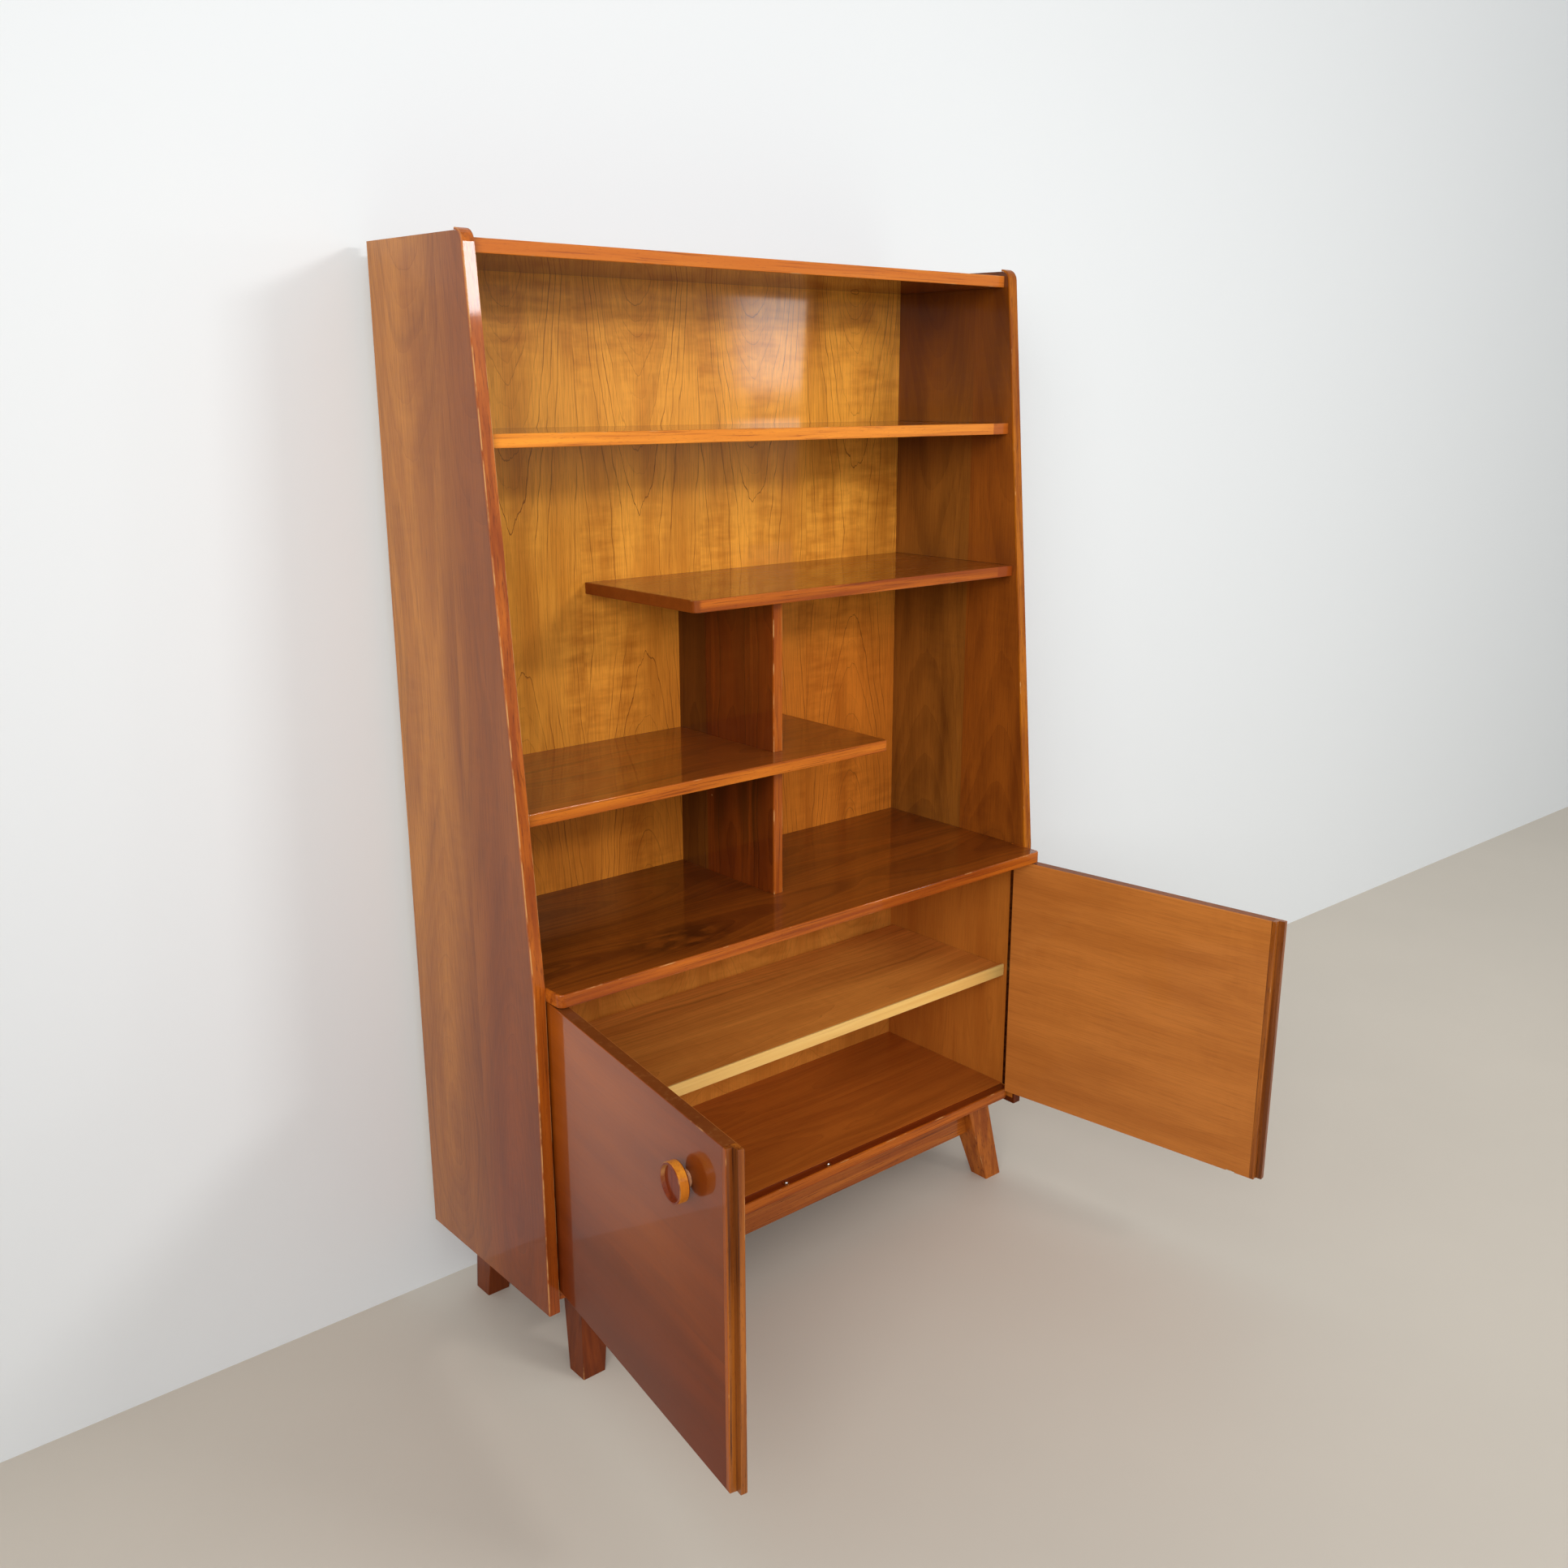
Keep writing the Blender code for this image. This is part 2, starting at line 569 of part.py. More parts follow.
def add_strike(side, x, hinge):
    """Strike plate in a notch under the door, open to the back, where the catch's ball comes in."""
    front = CATCH_Y - STRIKE_REACH
    under = LEDGE_TOP + GAP + CATCH_RIM + BALL_RISE + GAP
    half = STRIKE_WIDTH / 2
    plate = block((x - half + GAP, front + GAP, under), (x + half - GAP, DOOR_BACK - GAP, under + STRIKE_PLATE))
    piece = add_piece(f"{side}_strike_plate", [plate], BRASS, hinge)
    centre = Vector((x, CATCH_Y, under))
    through = Vector((0, 0, 2 * STRIKE_PLATE))
    carve(piece, [cylinder(centre - through, centre + through, STRIKE_HOLE, BALL_SIDES)])
    return block((x - half, front, DOOR_BOTTOM - DOOR), (x + half, DOOR_BACK + DOOR, under + STRIKE_PLATE + GAP))


def add_door(side, sign):
    """Door panel with its lapped edge strip, knob, strike and hinge leaf, hung open on the hinge's axis."""
    hinge = add_empty(f"{side}_hinge_axis", (sign * AXIS_X, AXIS_Y, 0), case)
    step = DOOR_FRONT + DOOR / 2 - sign * LAP_PLAY / 2
    lead = LAP / 2
    outer_end = -lead if sign < 0 else LAP_GAP - lead
    inner_end = outer_end + LAP
    shoulder = (outer_end - EDGE_STRIP) if sign < 0 else (inner_end + EDGE_STRIP)
    edge = [(shoulder, DOOR_FRONT), (outer_end, DOOR_FRONT), (outer_end, step),
            (inner_end, step), (inner_end, DOOR_BACK), (shoulder, DOOR_BACK)]
    add_piece(f"{side}_door_edge", [prism(edge, "Z", DOOR_BOTTOM, DOOR_TOP, rims=[0, 1, 3, 4], posts=[1, 4])],
              ORANGE_BROWN, hinge)
    panel_end = shoulder + sign * GAP
    hinge_edge = sign * DOOR_HINGE_EDGE
    panel = [(hinge_edge, DOOR_FRONT), (panel_end, DOOR_FRONT), (panel_end, DOOR_BACK), (hinge_edge, DOOR_BACK)]
    door = add_piece(f"{side}_door", [prism(panel, "Z", DOOR_BOTTOM, DOOR_TOP, rims=[0, 2, 3], posts=[0, 3])],
                     RED_BROWN, hinge)
    tenon_hole = add_knob(side, sign * KNOB_FROM_CENTRE, hinge)
    notch = add_strike(side, sign * CATCH_FROM_CENTRE, hinge)
    carve(door, [tenon_hole, notch])
    add_leaf(f"{side}_door_leaf", -sign, sign * AXIS_X, 0, hinge)
    add_leaf(f"{side}_frame_leaf", sign, sign * AXIS_X, 1, case)
    foot = Vector((sign * AXIS_X, AXIS_Y, DOOR_BOTTOM))
    head = Vector((sign * AXIS_X, AXIS_Y, DOOR_TOP))
    add_piece(f"{side}_hinge_pin", [cylinder(foot, head, PIN_RADIUS, PIN_SIDES)], BRASS, case)
    hinge.rotation_euler.z = sign * DOOR_OPEN


def add_catch(side, x):
    """Ball catch let into the ledge: a flanged case, and the spring that holds its ball up."""
    seat = LEDGE_TOP + GAP
    bottom = CATCH_FLOOR - CATCH_LENGTH
    profile = [(0, -CATCH_LENGTH), (CATCH_BARREL, -CATCH_LENGTH), (CATCH_BARREL, 0), (CATCH_FLANGE, 0),
               (CATCH_FLANGE, CATCH_RIM), (CATCH_BORE, CATCH_RIM), (CATCH_BORE, bottom), (0, bottom)]
    shell = turned(profile, BARREL_SIDES)
    shell.transform(Matrix.Translation((x, CATCH_Y, seat)))
    add_piece(f"{side}_catch_case", [shell], BRASS, case, smooth=True)
    drill_low = Vector((x, CATCH_Y, seat - CATCH_LENGTH - GAP))
    drill_high = Vector((x, CATCH_Y, FLOOR_TOP + LEDGE_DROP))
    holes.setdefault("bottom_board", []).append(
        cylinder(drill_low, drill_high, CATCH_BARREL + GAP, BARREL_SIDES))

    centre = seat + CATCH_RIM + BALL_RISE - BALL_RADIUS
    ball = bmesh.new()
    bmesh.ops.create_uvsphere(ball, u_segments=BALL_SIDES, v_segments=BALL_SIDES // 2 + 2, radius=BALL_RADIUS)
    slide = add_empty(f"{side}_catch_axis", (x, CATCH_Y, centre), case)
    ball.transform(Matrix.Translation(slide.location))
    add_piece(f"{side}_catch_ball", [ball], STEEL, slide, smooth=True)

    low = seat + bottom + GAP + SPRING_WIRE
    touch = math.sqrt((BALL_RADIUS + SPRING_WIRE + GAP) ** 2 - SPRING_RADIUS ** 2)
    high = centre - touch
    curve = bpy.data.curves.new(f"{side}_catch_spring", "CURVE")
    curve.dimensions = "3D"
    curve.bevel_depth = SPRING_WIRE
    curve.bevel_resolution = 1
    curve.use_fill_caps = True
    spline = curve.splines.new("POLY")
    steps = SPRING_TURNS * COIL_STEPS
    spline.points.add(steps)
    for i in range(steps + 1):
        angle = 2 * math.pi * i / COIL_STEPS
        height = low + (high - low) * i / steps
        place = (x + SPRING_RADIUS * math.cos(angle), CATCH_Y + SPRING_RADIUS * math.sin(angle), height)
        spline.points[i].co = (*place, 1.0)
    spring = bpy.data.objects.new(curve.name, curve)
    bpy.context.scene.collection.objects.link(spring)
    spring.parent = case
    add_material(spring, STEEL)


def leg_span(level, foot, head):
    """A leg's face at a height, between its places at the floor and at the top."""
    return foot + (head - foot) * level / RAIL_TOP


def add_leg(name, sign, front, rake):
    """Leg that tapers to its foot and splays to the side, and forwards by the rake."""
    bm = bmesh.new()
    rings = []
    for level, size, inset, y in ((0.0, LEG_FOOT, LEG_INSET, front),
                                  (RAIL_TOP, LEG_HEAD, LEG_INSET + LEG_SPLAY, front + rake)):
        outer = sign * (HALF - inset)
        inner = sign * (HALF - inset - size)
        corners = [(outer, y), (inner, y), (inner, y + size), (outer, y + size)]
        rings.append([bm.verts.new((u, v, level)) for u, v in corners])
    bm.faces.new(rings[0])
    bm.faces.new(rings[1])
    for i in range(4):
        after = (i + 1) % 4
        bm.faces.new((rings[0][i], rings[0][after], rings[1][after], rings[1][i]))
    bmesh.ops.recalc_face_normals(bm, faces=bm.faces)
    arrises = [bm.edges.get((rings[0][i], rings[1][i])) for i in range(4)]
    bmesh.ops.bevel(bm, geom=arrises, offset=ARRIS, offset_type="OFFSET", segments=ARRIS_STEPS,
                    profile=0.5, affect="EDGES", clamp_overlap=True)
    add_piece(name, [bm], ORANGE_BROWN, case)


def add_base():
    """Four legs under the cupboard floor, and the rails between them with ends cut to the legs' slant."""
    for side, sign in (("left", -1), ("right", 1)):
        add_leg(f"front_{side}_leg", sign, FRONT_LEG_FRONT, FRONT_LEG_RAKE)
        add_leg(f"rear_{side}_leg", sign, REAR_LEG_FRONT, 0.0)
    low = RAIL_TOP - RAIL_HEIGHT
    levels = (low, RAIL_TOP)
    inner_foot = HALF - LEG_INSET - LEG_FOOT
    inner_head = HALF - LEG_INSET - LEG_SPLAY - LEG_HEAD
    reach = [leg_span(level, inner_foot, inner_head) - GAP for level in levels]
    across = [(-reach[0], levels[0]), (reach[0], levels[0]), (reach[1], levels[1]), (-reach[1], levels[1])]
    for name, y in (("front_apron", FRONT_RAIL_FRONT), ("rear_apron", REAR_LEG_FRONT + REAR_RAIL_SETBACK)):
        add_piece(name, [prism(across, "Y", y, y + RAIL, rims=[0])], ORANGE_BROWN, case)
    back_foot = FRONT_LEG_FRONT + LEG_FOOT
    back_head = FRONT_LEG_FRONT + FRONT_LEG_RAKE + LEG_HEAD
    start = [leg_span(level, back_foot, back_head) + GAP for level in levels]
    along = [(start[0], levels[0]), (REAR_LEG_FRONT - GAP, levels[0]),
             (REAR_LEG_FRONT - GAP, levels[1]), (start[1], levels[1])]
    for side, sign in (("left", -1), ("right", 1)):
        outer = sign * (HALF - SIDE_RAIL_INSET)
        near, far = sorted((outer, outer - sign * RAIL))
        add_piece(f"{side}_rail", [prism(along, "X", near, far, rims=[0])], ORANGE_BROWN, case)


def centre_on_floor():
    """Move the whole piece so that the origin is the middle of its bounding box on the floor."""
    bpy.context.view_layer.update()
    corners = []
    for piece in bpy.context.scene.objects:
        if piece.type != "EMPTY":
            corners += [piece.matrix_world @ Vector(corner) for corner in piece.bound_box]
    for axis in (0, 1):
        values = [corner[axis] for corner in corners]
        case.location[axis] = -(min(values) + max(values)) / 2


for old in list(bpy.data.objects):
    bpy.data.objects.remove(old, do_unlink=True)
case = add_empty("highboard", (0, 0, 0), None)

add_side("left_side", -1)
add_side("right_side", 1)
add_full_shelf("top_board", TOP_BOARD_TOP)
add_full_shelf("upper_shelf", UPPER_SHELF_TOP)
add_half_shelf("right_half_shelf", 1, RIGHT_SHELF_TOP, board_front(RIGHT_SHELF_TOP))
left_front = front_of_side(LEFT_SHELF_TOP - BOARD / 2) + LEFT_SHELF_SETBACK
add_half_shelf("left_half_shelf", -1, LEFT_SHELF_TOP, left_front)
add_worktop()
add_bottom_board()
add_divider("upper_divider", LEFT_SHELF_TOP, RIGHT_SHELF_TOP - BOARD, "left_half_shelf", "right_half_shelf")
add_divider("lower_divider", WORKTOP_TOP, LEFT_SHELF_TOP - BOARD, "worktop", "left_half_shelf")
add_backs()
add_loose_shelf()
add_door("left", -1)
add_door("right", 1)
add_catch("left", -CATCH_FROM_CENTRE)
add_catch("right", CATCH_FROM_CENTRE)
add_base()
for name, cutters in holes.items():
    carve(bpy.data.objects[name], cutters)
centre_on_floor()
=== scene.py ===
"""Looks of the highboard: finishes for the solids of the frame, fasteners, a plain studio and the camera."""
import json
import math

import bmesh
import bpy
from mathutils import Matrix, Vector


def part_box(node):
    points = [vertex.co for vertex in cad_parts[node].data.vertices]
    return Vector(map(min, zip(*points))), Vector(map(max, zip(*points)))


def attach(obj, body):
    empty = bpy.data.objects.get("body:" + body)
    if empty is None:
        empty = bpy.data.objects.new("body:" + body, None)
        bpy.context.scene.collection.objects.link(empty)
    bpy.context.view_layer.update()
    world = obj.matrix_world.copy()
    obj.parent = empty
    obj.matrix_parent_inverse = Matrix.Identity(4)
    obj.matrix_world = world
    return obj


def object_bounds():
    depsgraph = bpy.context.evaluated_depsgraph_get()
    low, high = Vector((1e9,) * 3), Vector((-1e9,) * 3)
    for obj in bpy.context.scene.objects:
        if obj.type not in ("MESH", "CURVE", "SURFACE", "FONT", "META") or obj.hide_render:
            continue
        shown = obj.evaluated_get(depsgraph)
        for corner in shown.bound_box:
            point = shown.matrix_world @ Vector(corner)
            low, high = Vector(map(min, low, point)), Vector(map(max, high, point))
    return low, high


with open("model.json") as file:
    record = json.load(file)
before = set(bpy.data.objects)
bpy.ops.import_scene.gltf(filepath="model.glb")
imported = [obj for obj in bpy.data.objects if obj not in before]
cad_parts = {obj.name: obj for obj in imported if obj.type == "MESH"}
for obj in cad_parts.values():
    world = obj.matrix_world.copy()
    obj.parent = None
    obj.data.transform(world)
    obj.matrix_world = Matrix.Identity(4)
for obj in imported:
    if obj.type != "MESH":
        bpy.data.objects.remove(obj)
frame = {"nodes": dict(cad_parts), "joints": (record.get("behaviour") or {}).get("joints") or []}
nodes = frame["nodes"]
cad_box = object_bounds()

# Camera
# A hand-held camera at eye height, to the left of the piece and looking down on it a little.
# Its place, turn and lens were fitted to the edges of the piece in the picture.
camera = bpy.data.objects.new("camera", bpy.data.cameras.new("camera"))
bpy.context.scene.collection.objects.link(camera)
camera.location = (-1.53386, -1.63469, 1.49032)
camera.rotation_euler = (math.radians(74.798), math.radians(0.005), math.radians(-40.7507))
camera.data.sensor_width = 36.0
camera.data.lens = 33.8205
camera.data.shift_x = -0.003488
camera.data.shift_y = 0.004611
bpy.context.scene.camera = camera
bpy.context.scene.view_settings.view_transform = "Standard"

# Floor and backdrop
# A plain pale floor, and a plain white backdrop close behind the piece, as in a small studio.
# The backdrop shows only from its front, and right behind the piece it lets the light through to the back.
FLOOR_SPREAD = 9.0
BACKDROP_GAP = 0.030
BACKDROP_HEIGHT = 6.0
BACKDROP_OPENING = 0.60
FLOOR_COLOUR = (0.65, 0.58, 0.49, 1)
FLOOR_SHADE = (0.58, 0.52, 0.44, 1)
BACKDROP_COLOUR = (0.82, 0.835, 0.84, 1)


def add_node(tree, kind, inputs=None, **settings):
    """Add a node with its settings, and fill its inputs with links or plain values."""
    made = tree.nodes.new(kind)
    for name, setting in settings.items():
        setattr(made, name, setting)
    for key, source in (inputs or {}).items():
        if isinstance(source, bpy.types.NodeSocket):
            tree.links.new(source, made.inputs[key])
        else:
            made.inputs[key].default_value = source
    return made


def calculate(tree, operation, *terms):
    """Do a sum on links and numbers."""
    return add_node(tree, "ShaderNodeMath", dict(enumerate(terms)), operation=operation).outputs[0]


def times(tree, first, second):
    """Multiply two links or numbers."""
    return calculate(tree, "MULTIPLY", first, second)


def plus(tree, first, second):
    """Add two links or numbers."""
    return calculate(tree, "ADD", first, second)


def less(tree, first, second):
    """Take the second link or number from the first."""
    return calculate(tree, "SUBTRACT", first, second)


def larger(tree, first, second):
    """Take the larger of two links or numbers."""
    return calculate(tree, "MAXIMUM", first, second)


def smaller(tree, first, second):
    """Take the smaller of two links or numbers."""
    return calculate(tree, "MINIMUM", first, second)


def on_vectors(tree, operation, first, second):
    """Do a sum on two places or directions."""
    return add_node(tree, "ShaderNodeVectorMath", {0: first, 1: second}, operation=operation).outputs[0]


def split(tree, place):
    """Part a place into its three coordinates."""
    return add_node(tree, "ShaderNodeSeparateXYZ", {0: place}).outputs


def mix_colours(tree, share, first, second):
    """Blend the second colour over the first by a share from 0 to 1."""
    return add_node(tree, "ShaderNodeMix", {0: share, 6: first, 7: second}, data_type="RGBA").outputs[2]


def rise(tree, value, low, high, start=0.0, end=1.0):
    """Step smoothly from start to end while a value goes from low to high."""
    ramp = add_node(tree, "ShaderNodeMapRange", {0: value, 1: low, 2: high, 3: start, 4: end},
                    interpolation_type="SMOOTHSTEP")
    return ramp.outputs[0]


def cloud(tree, place, counts, detail=2.0):
    """Noise from 0 to 1, with so many blotches to the metre along each axis of a place."""
    spread = on_vectors(tree, "MULTIPLY", place, counts)
    return add_node(tree, "ShaderNodeTexNoise", {"Vector": spread, "Scale": 1.0, "Detail": detail}).outputs[0]


def new_material(name):
    """Start a material, and return its tree, its shader and the place on the piece."""
    material = bpy.data.materials.new(name)
    material.use_nodes = True
    tree = material.node_tree
    place = add_node(tree, "ShaderNodeTexCoord").outputs["Object"]
    return material, tree, tree.nodes["Principled BSDF"], place


def add_mesh(name, bm, material):
    """Turn a built mesh into an object with a material."""
    mesh = bpy.data.meshes.new(name)
    bm.to_mesh(mesh)
    bm.free()
    piece = bpy.data.objects.new(name, mesh)
    bpy.context.scene.collection.objects.link(piece)
    mesh.materials.append(material)
    return piece


floor_finish, tree, shader, place = new_material("floor")
blotches = cloud(tree, place, (1.6, 1.6, 1.6), 4.0)
tree.links.new(mix_colours(tree, blotches, FLOOR_SHADE, FLOOR_COLOUR), shader.inputs["Base Color"])
shader.inputs["Roughness"].default_value = 0.55
sheet = bmesh.new()
bmesh.ops.create_grid(sheet, x_segments=1, y_segments=1, size=FLOOR_SPREAD)
floor = add_mesh("floor", sheet, floor_finish)

backdrop_finish, tree, shader, place = new_material("backdrop")
shader.inputs["Base Color"].default_value = BACKDROP_COLOUR
shader.inputs["Roughness"].default_value = 0.9
rays = add_node(tree, "ShaderNodeLightPath").outputs
seen = larger(tree, rays["Is Camera Ray"], rays["Is Glossy Ray"])
behind = add_node(tree, "ShaderNodeNewGeometry").outputs["Backfacing"]
sideways = calculate(tree, "ABSOLUTE", split(tree, place)[0])
beside = calculate(tree, "GREATER_THAN", sideways, BACKDROP_OPENING)
shown = times(tree, larger(tree, seen, beside), less(tree, 1.0, behind))
clear = add_node(tree, "ShaderNodeBsdfTransparent")
screen = add_node(tree, "ShaderNodeMixShader", {0: shown, 1: clear.outputs[0], 2: shader.outputs[0]})
tree.links.new(screen.outputs[0], tree.nodes["Material Output"].inputs["Surface"])
wall_y = cad_box[1].y + BACKDROP_GAP
sheet = bmesh.new()
corners = [(-FLOOR_SPREAD, wall_y, 0), (FLOOR_SPREAD, wall_y, 0),
           (FLOOR_SPREAD, wall_y, BACKDROP_HEIGHT), (-FLOOR_SPREAD, wall_y, BACKDROP_HEIGHT)]
sheet.faces.new([sheet.verts.new(corner) for corner in corners])
backdrop = add_mesh("backdrop", sheet, backdrop_finish)

# Studio light
# Even pale light from all round, a wide soft lamp at the left, a smaller one high at the right that glints
# on the left lipping, and a far window low at the right that shows in the lacquer of the back.
WORLD_COLOUR = (0.93, 0.97, 1.0, 1)
WORLD_STRENGTH = 0.66
world = bpy.data.worlds.new("studio")
world.use_nodes = True
world.node_tree.nodes["Background"].inputs["Color"].default_value = WORLD_COLOUR
world.node_tree.nodes["Background"].inputs["Strength"].default_value = WORLD_STRENGTH
bpy.context.scene.world = world


def add_lamp(name, place, target, width, height, power, spread=180.0):
    """Hang a rectangular lamp that faces a target, with a grid that holds its light in so many degrees."""
    light = bpy.data.lights.new(name, "AREA")
    light.shape = "RECTANGLE"
    light.size = width
    light.size_y = height
    light.energy = power
    light.spread = math.radians(spread)
    lamp = bpy.data.objects.new(name, light)
    bpy.context.scene.collection.objects.link(lamp)
    lamp.location = place
    lamp.rotation_euler = (Vector(target) - Vector(place)).to_track_quat("-Z", "Y").to_euler()


add_lamp("left_lamp", (-2.7, -2.6, 2.3), (0.6, 0.1, 1.2), 2.4, 1.8, 24.0, 80.0)
add_lamp("right_lamp", (1.48, -3.34, 2.57), (0.0, 0.3, 1.0), 1.0, 0.33, 38.0)
add_lamp("far_window", (3.70, -3.70, 1.75), (0.21, 0.43, 1.577), 0.36, 0.50, 6.0)

# Base frame
# Four tapered legs of solid beech splay outwards, and low rails are tenoned between them.
# The whole frame is stained orange-brown, lacquered, and screwed up under the cupboard floor.
BASE_PALE = (0.50, 0.140, 0.015, 1)
BASE_DEEP = (0.28, 0.062, 0.007, 1)
# Darker colours for the left legs: painted shade from the door and the case above them.
BASE_SHADE = (0.190, 0.036, 0.005, 1)
BASE_DARK = (0.110, 0.019, 0.003, 1)
BASE_LINE = (0.10, 0.018, 0.003, 1)
WORN_WOOD = (0.56, 0.26, 0.085, 1)
WORN_GLOSS = 0.2
LACQUER_ROUGHNESS = 0.045
GRAIN_DEPTH = 0.00012
ALONG_X = ((0, 1, 0), (1, 0, 0))
ALONG_Y = ((1, 0, 0), (0, 1, 0))
UPRIGHT = ((0, 1, 0), (0, 0, 1))


def new_group(name, inputs, outputs):
    """Start a node group with named sockets, and return its tree, its inputs and its outputs."""
    tree = bpy.data.node_groups.new(name, "ShaderNodeTree")
    kinds = {tuple: "NodeSocketColor", float: "NodeSocketFloat", None: "NodeSocketVector"}
    for label, start in inputs.items():
        kind = kinds[type(start) if start is not None else None]
        socket = tree.interface.new_socket(label, in_out="INPUT", socket_type=kind)
        if start is not None:
            socket.default_value = start
    for label, kind in outputs.items():
        tree.interface.new_socket(label, in_out="OUTPUT", socket_type="NodeSocket" + kind)
    return tree, tree.nodes.new("NodeGroupInput").outputs, tree.nodes.new("NodeGroupOutput").inputs


def turn_to_grain(tree, place, grain, start=(0, 0, 0)):
    """Turn a place so that its X runs across the grain, its Y through the board and its Z along the grain."""
    across, along = (Vector(axis) for axis in grain)
    turn = Matrix((across, along.cross(across), along)).transposed().to_euler()
    return add_node(tree, "ShaderNodeMapping", {"Vector": place, "Location": start, "Rotation": turn},
                    vector_type="TEXTURE").outputs[0]


def make_solid_grain():
    """Sawn solid wood: long soft bands, fine dark fibre lines and short flecks along the grain."""
    inputs = {"Place": None, "Pale": BASE_PALE, "Deep": BASE_DEEP, "Line": BASE_LINE, "Figure": 1.0}
    tree, given, result = new_group("Solid grain", inputs, {"Color": "Color", "Height": "Float"})
    sway = cloud(tree, given["Place"], (14, 14, 2.2), 1.0)
    sway = times(tree, less(tree, sway, 0.5), 0.012)
    lean = add_node(tree, "ShaderNodeCombineXYZ", {0: sway, 1: sway, 2: 0.0}).outputs[0]
    warped = on_vectors(tree, "ADD", given["Place"], lean)
    bands = rise(tree, cloud(tree, warped, (75, 75, 2.6), 2.0), 0.30, 0.72)
    fibres = rise(tree, cloud(tree, warped, (420, 420, 7), 2.0), 0.52, 0.74)
    flecks = rise(tree, cloud(tree, given["Place"], (900, 900, 95), 1.0), 0.60, 0.78)
    blotches = rise(tree, cloud(tree, given["Place"], (9, 9, 4.5), 2.0), 0.25, 0.70, 0.55, 1.0)
    colour = mix_colours(tree, times(tree, bands, blotches), given["Deep"], given["Pale"])
    dark = plus(tree, times(tree, fibres, 0.62), times(tree, flecks, 0.40))
    dark = times(tree, smaller(tree, dark, 0.8), given["Figure"])
    tree.links.new(mix_colours(tree, dark, colour, given["Line"]), result["Color"])
    tree.links.new(less(tree, 1.0, dark), result["Height"])
    return tree


def dot(tree, first, second):
    """How far one place or direction reaches along another."""
    product = add_node(tree, "ShaderNodeVectorMath", {0: first, 1: second}, operation="DOT_PRODUCT")
    return product.outputs["Value"]


def make_worn_arris():
    """Lacquer rubbed through along the eased arrises, in patches, and a few small chips on the faces."""
    inputs = {"Place": None, "Face": None, "Rub": 0.5}
    tree, given, result = new_group("Worn arris", inputs, {"Wear": "Float"})
    normal = add_node(tree, "ShaderNodeNewGeometry").outputs["True Normal"]
    turned = add_node(tree, "ShaderNodeVectorTransform", {0: normal}, vector_type="NORMAL",
                      convert_from="WORLD", convert_to="OBJECT").outputs[0]
    facing = dot(tree, turned, given["Face"])
    square = times(tree, facing, facing)
    tilt = calculate(tree, "SQRT", larger(tree, less(tree, 1.0, square), 0.0))
    slope = times(tree, calculate(tree, "ABSOLUTE", facing), tilt)
    arris = rise(tree, slope, 0.20, 0.32)
    patches = cloud(tree, given["Place"], (26, 26, 26), 4.0)
    limit = less(tree, 0.82, times(tree, given["Rub"], 0.5))
    rubbed = rise(tree, less(tree, patches, limit), -0.04, 0.12)
    specks = add_node(tree, "ShaderNodeTexVoronoi", {"Vector": given["Place"], "Scale": 11.0})
    rare = add_node(tree, "ShaderNodeSeparateColor", {0: specks.outputs["Color"]}).outputs[0]
    near = rise(tree, specks.outputs["Distance"], 0.012, 0.022, 1.0, 0.0)
    chips = times(tree, near, calculate(tree, "GREATER_THAN", rare, 0.90))
    wear = larger(tree, times(tree, arris, rubbed), chips)
    tree.links.new(wear, result["Wear"])
    return tree


solid_grain = make_solid_grain()
worn_arris = make_worn_arris()


def rub_through(tree, place, face, rub):
    """Tell where a piece's lacquer is worn, from the way its main face looks and how much it was rubbed."""
    given = {"Place": place, "Face": face, "Rub": rub}
    return add_node(tree, "ShaderNodeGroup", given, node_tree=worn_arris).outputs["Wear"]


def lacquer(tree, shader, colour, height, wear, gloss=0.75):
    """Clear gloss lacquer over a wood colour, thin on worn spots, with the grain just felt through it."""
    shader.inputs["Specular IOR Level"].default_value = 0.08
    shader.inputs["Coat Roughness"].default_value = LACQUER_ROUGHNESS
    tree.links.new(mix_colours(tree, wear, colour, WORN_WOOD), shader.inputs["Base Color"])
    tree.links.new(rise(tree, wear, 0.0, 1.0, 0.34, 0.62), shader.inputs["Roughness"])
    tree.links.new(rise(tree, wear, 0.0, 1.0, gloss, WORN_GLOSS), shader.inputs["Coat Weight"])
    bump = add_node(tree, "ShaderNodeBump", {"Strength": 0.35, "Distance": GRAIN_DEPTH, "Height": height})
    tree.links.new(bump.outputs[0], shader.inputs["Normal"])


def saw_wood(tree, place, grain, colours, figure):
    """Place the solid grain group on a piece, with its grain, its colours and the strength of its lines."""
    given = {"Place": turn_to_grain(tree, place, grain), "Figure": figure}
    given.update(zip(("Pale", "Deep", "Line"), colours))
    return add_node(tree, "ShaderNodeGroup", given, node_tree=solid_grain)


def solid_wood(name, grain, face, colours, rub, figure=1.0, gloss=0.45, changes=()):
    """Material of a lacquered solid-wood piece with its grain along one axis.

    Each change is an axis, two places along it and the colours that the wood takes on between them.
    """
    material, tree, shader, place = new_material(name)
    for axis, low, high, others in changes:
        beyond = rise(tree, dot(tree, place, axis), low, high)
        colours = [mix_colours(tree, beyond, first, second) for first, second in zip(colours, others)]
    wood = saw_wood(tree, place, grain, colours, figure)
    wear = rub_through(tree, place, face, rub)
    lacquer(tree, shader, wood.outputs["Color"], wood.outputs["Height"], wear, gloss)
    return material


def finish(material, *names):
    """Give a material to solids of the frame."""
    for name in names:
        nodes[name].material_slots[0].material = material


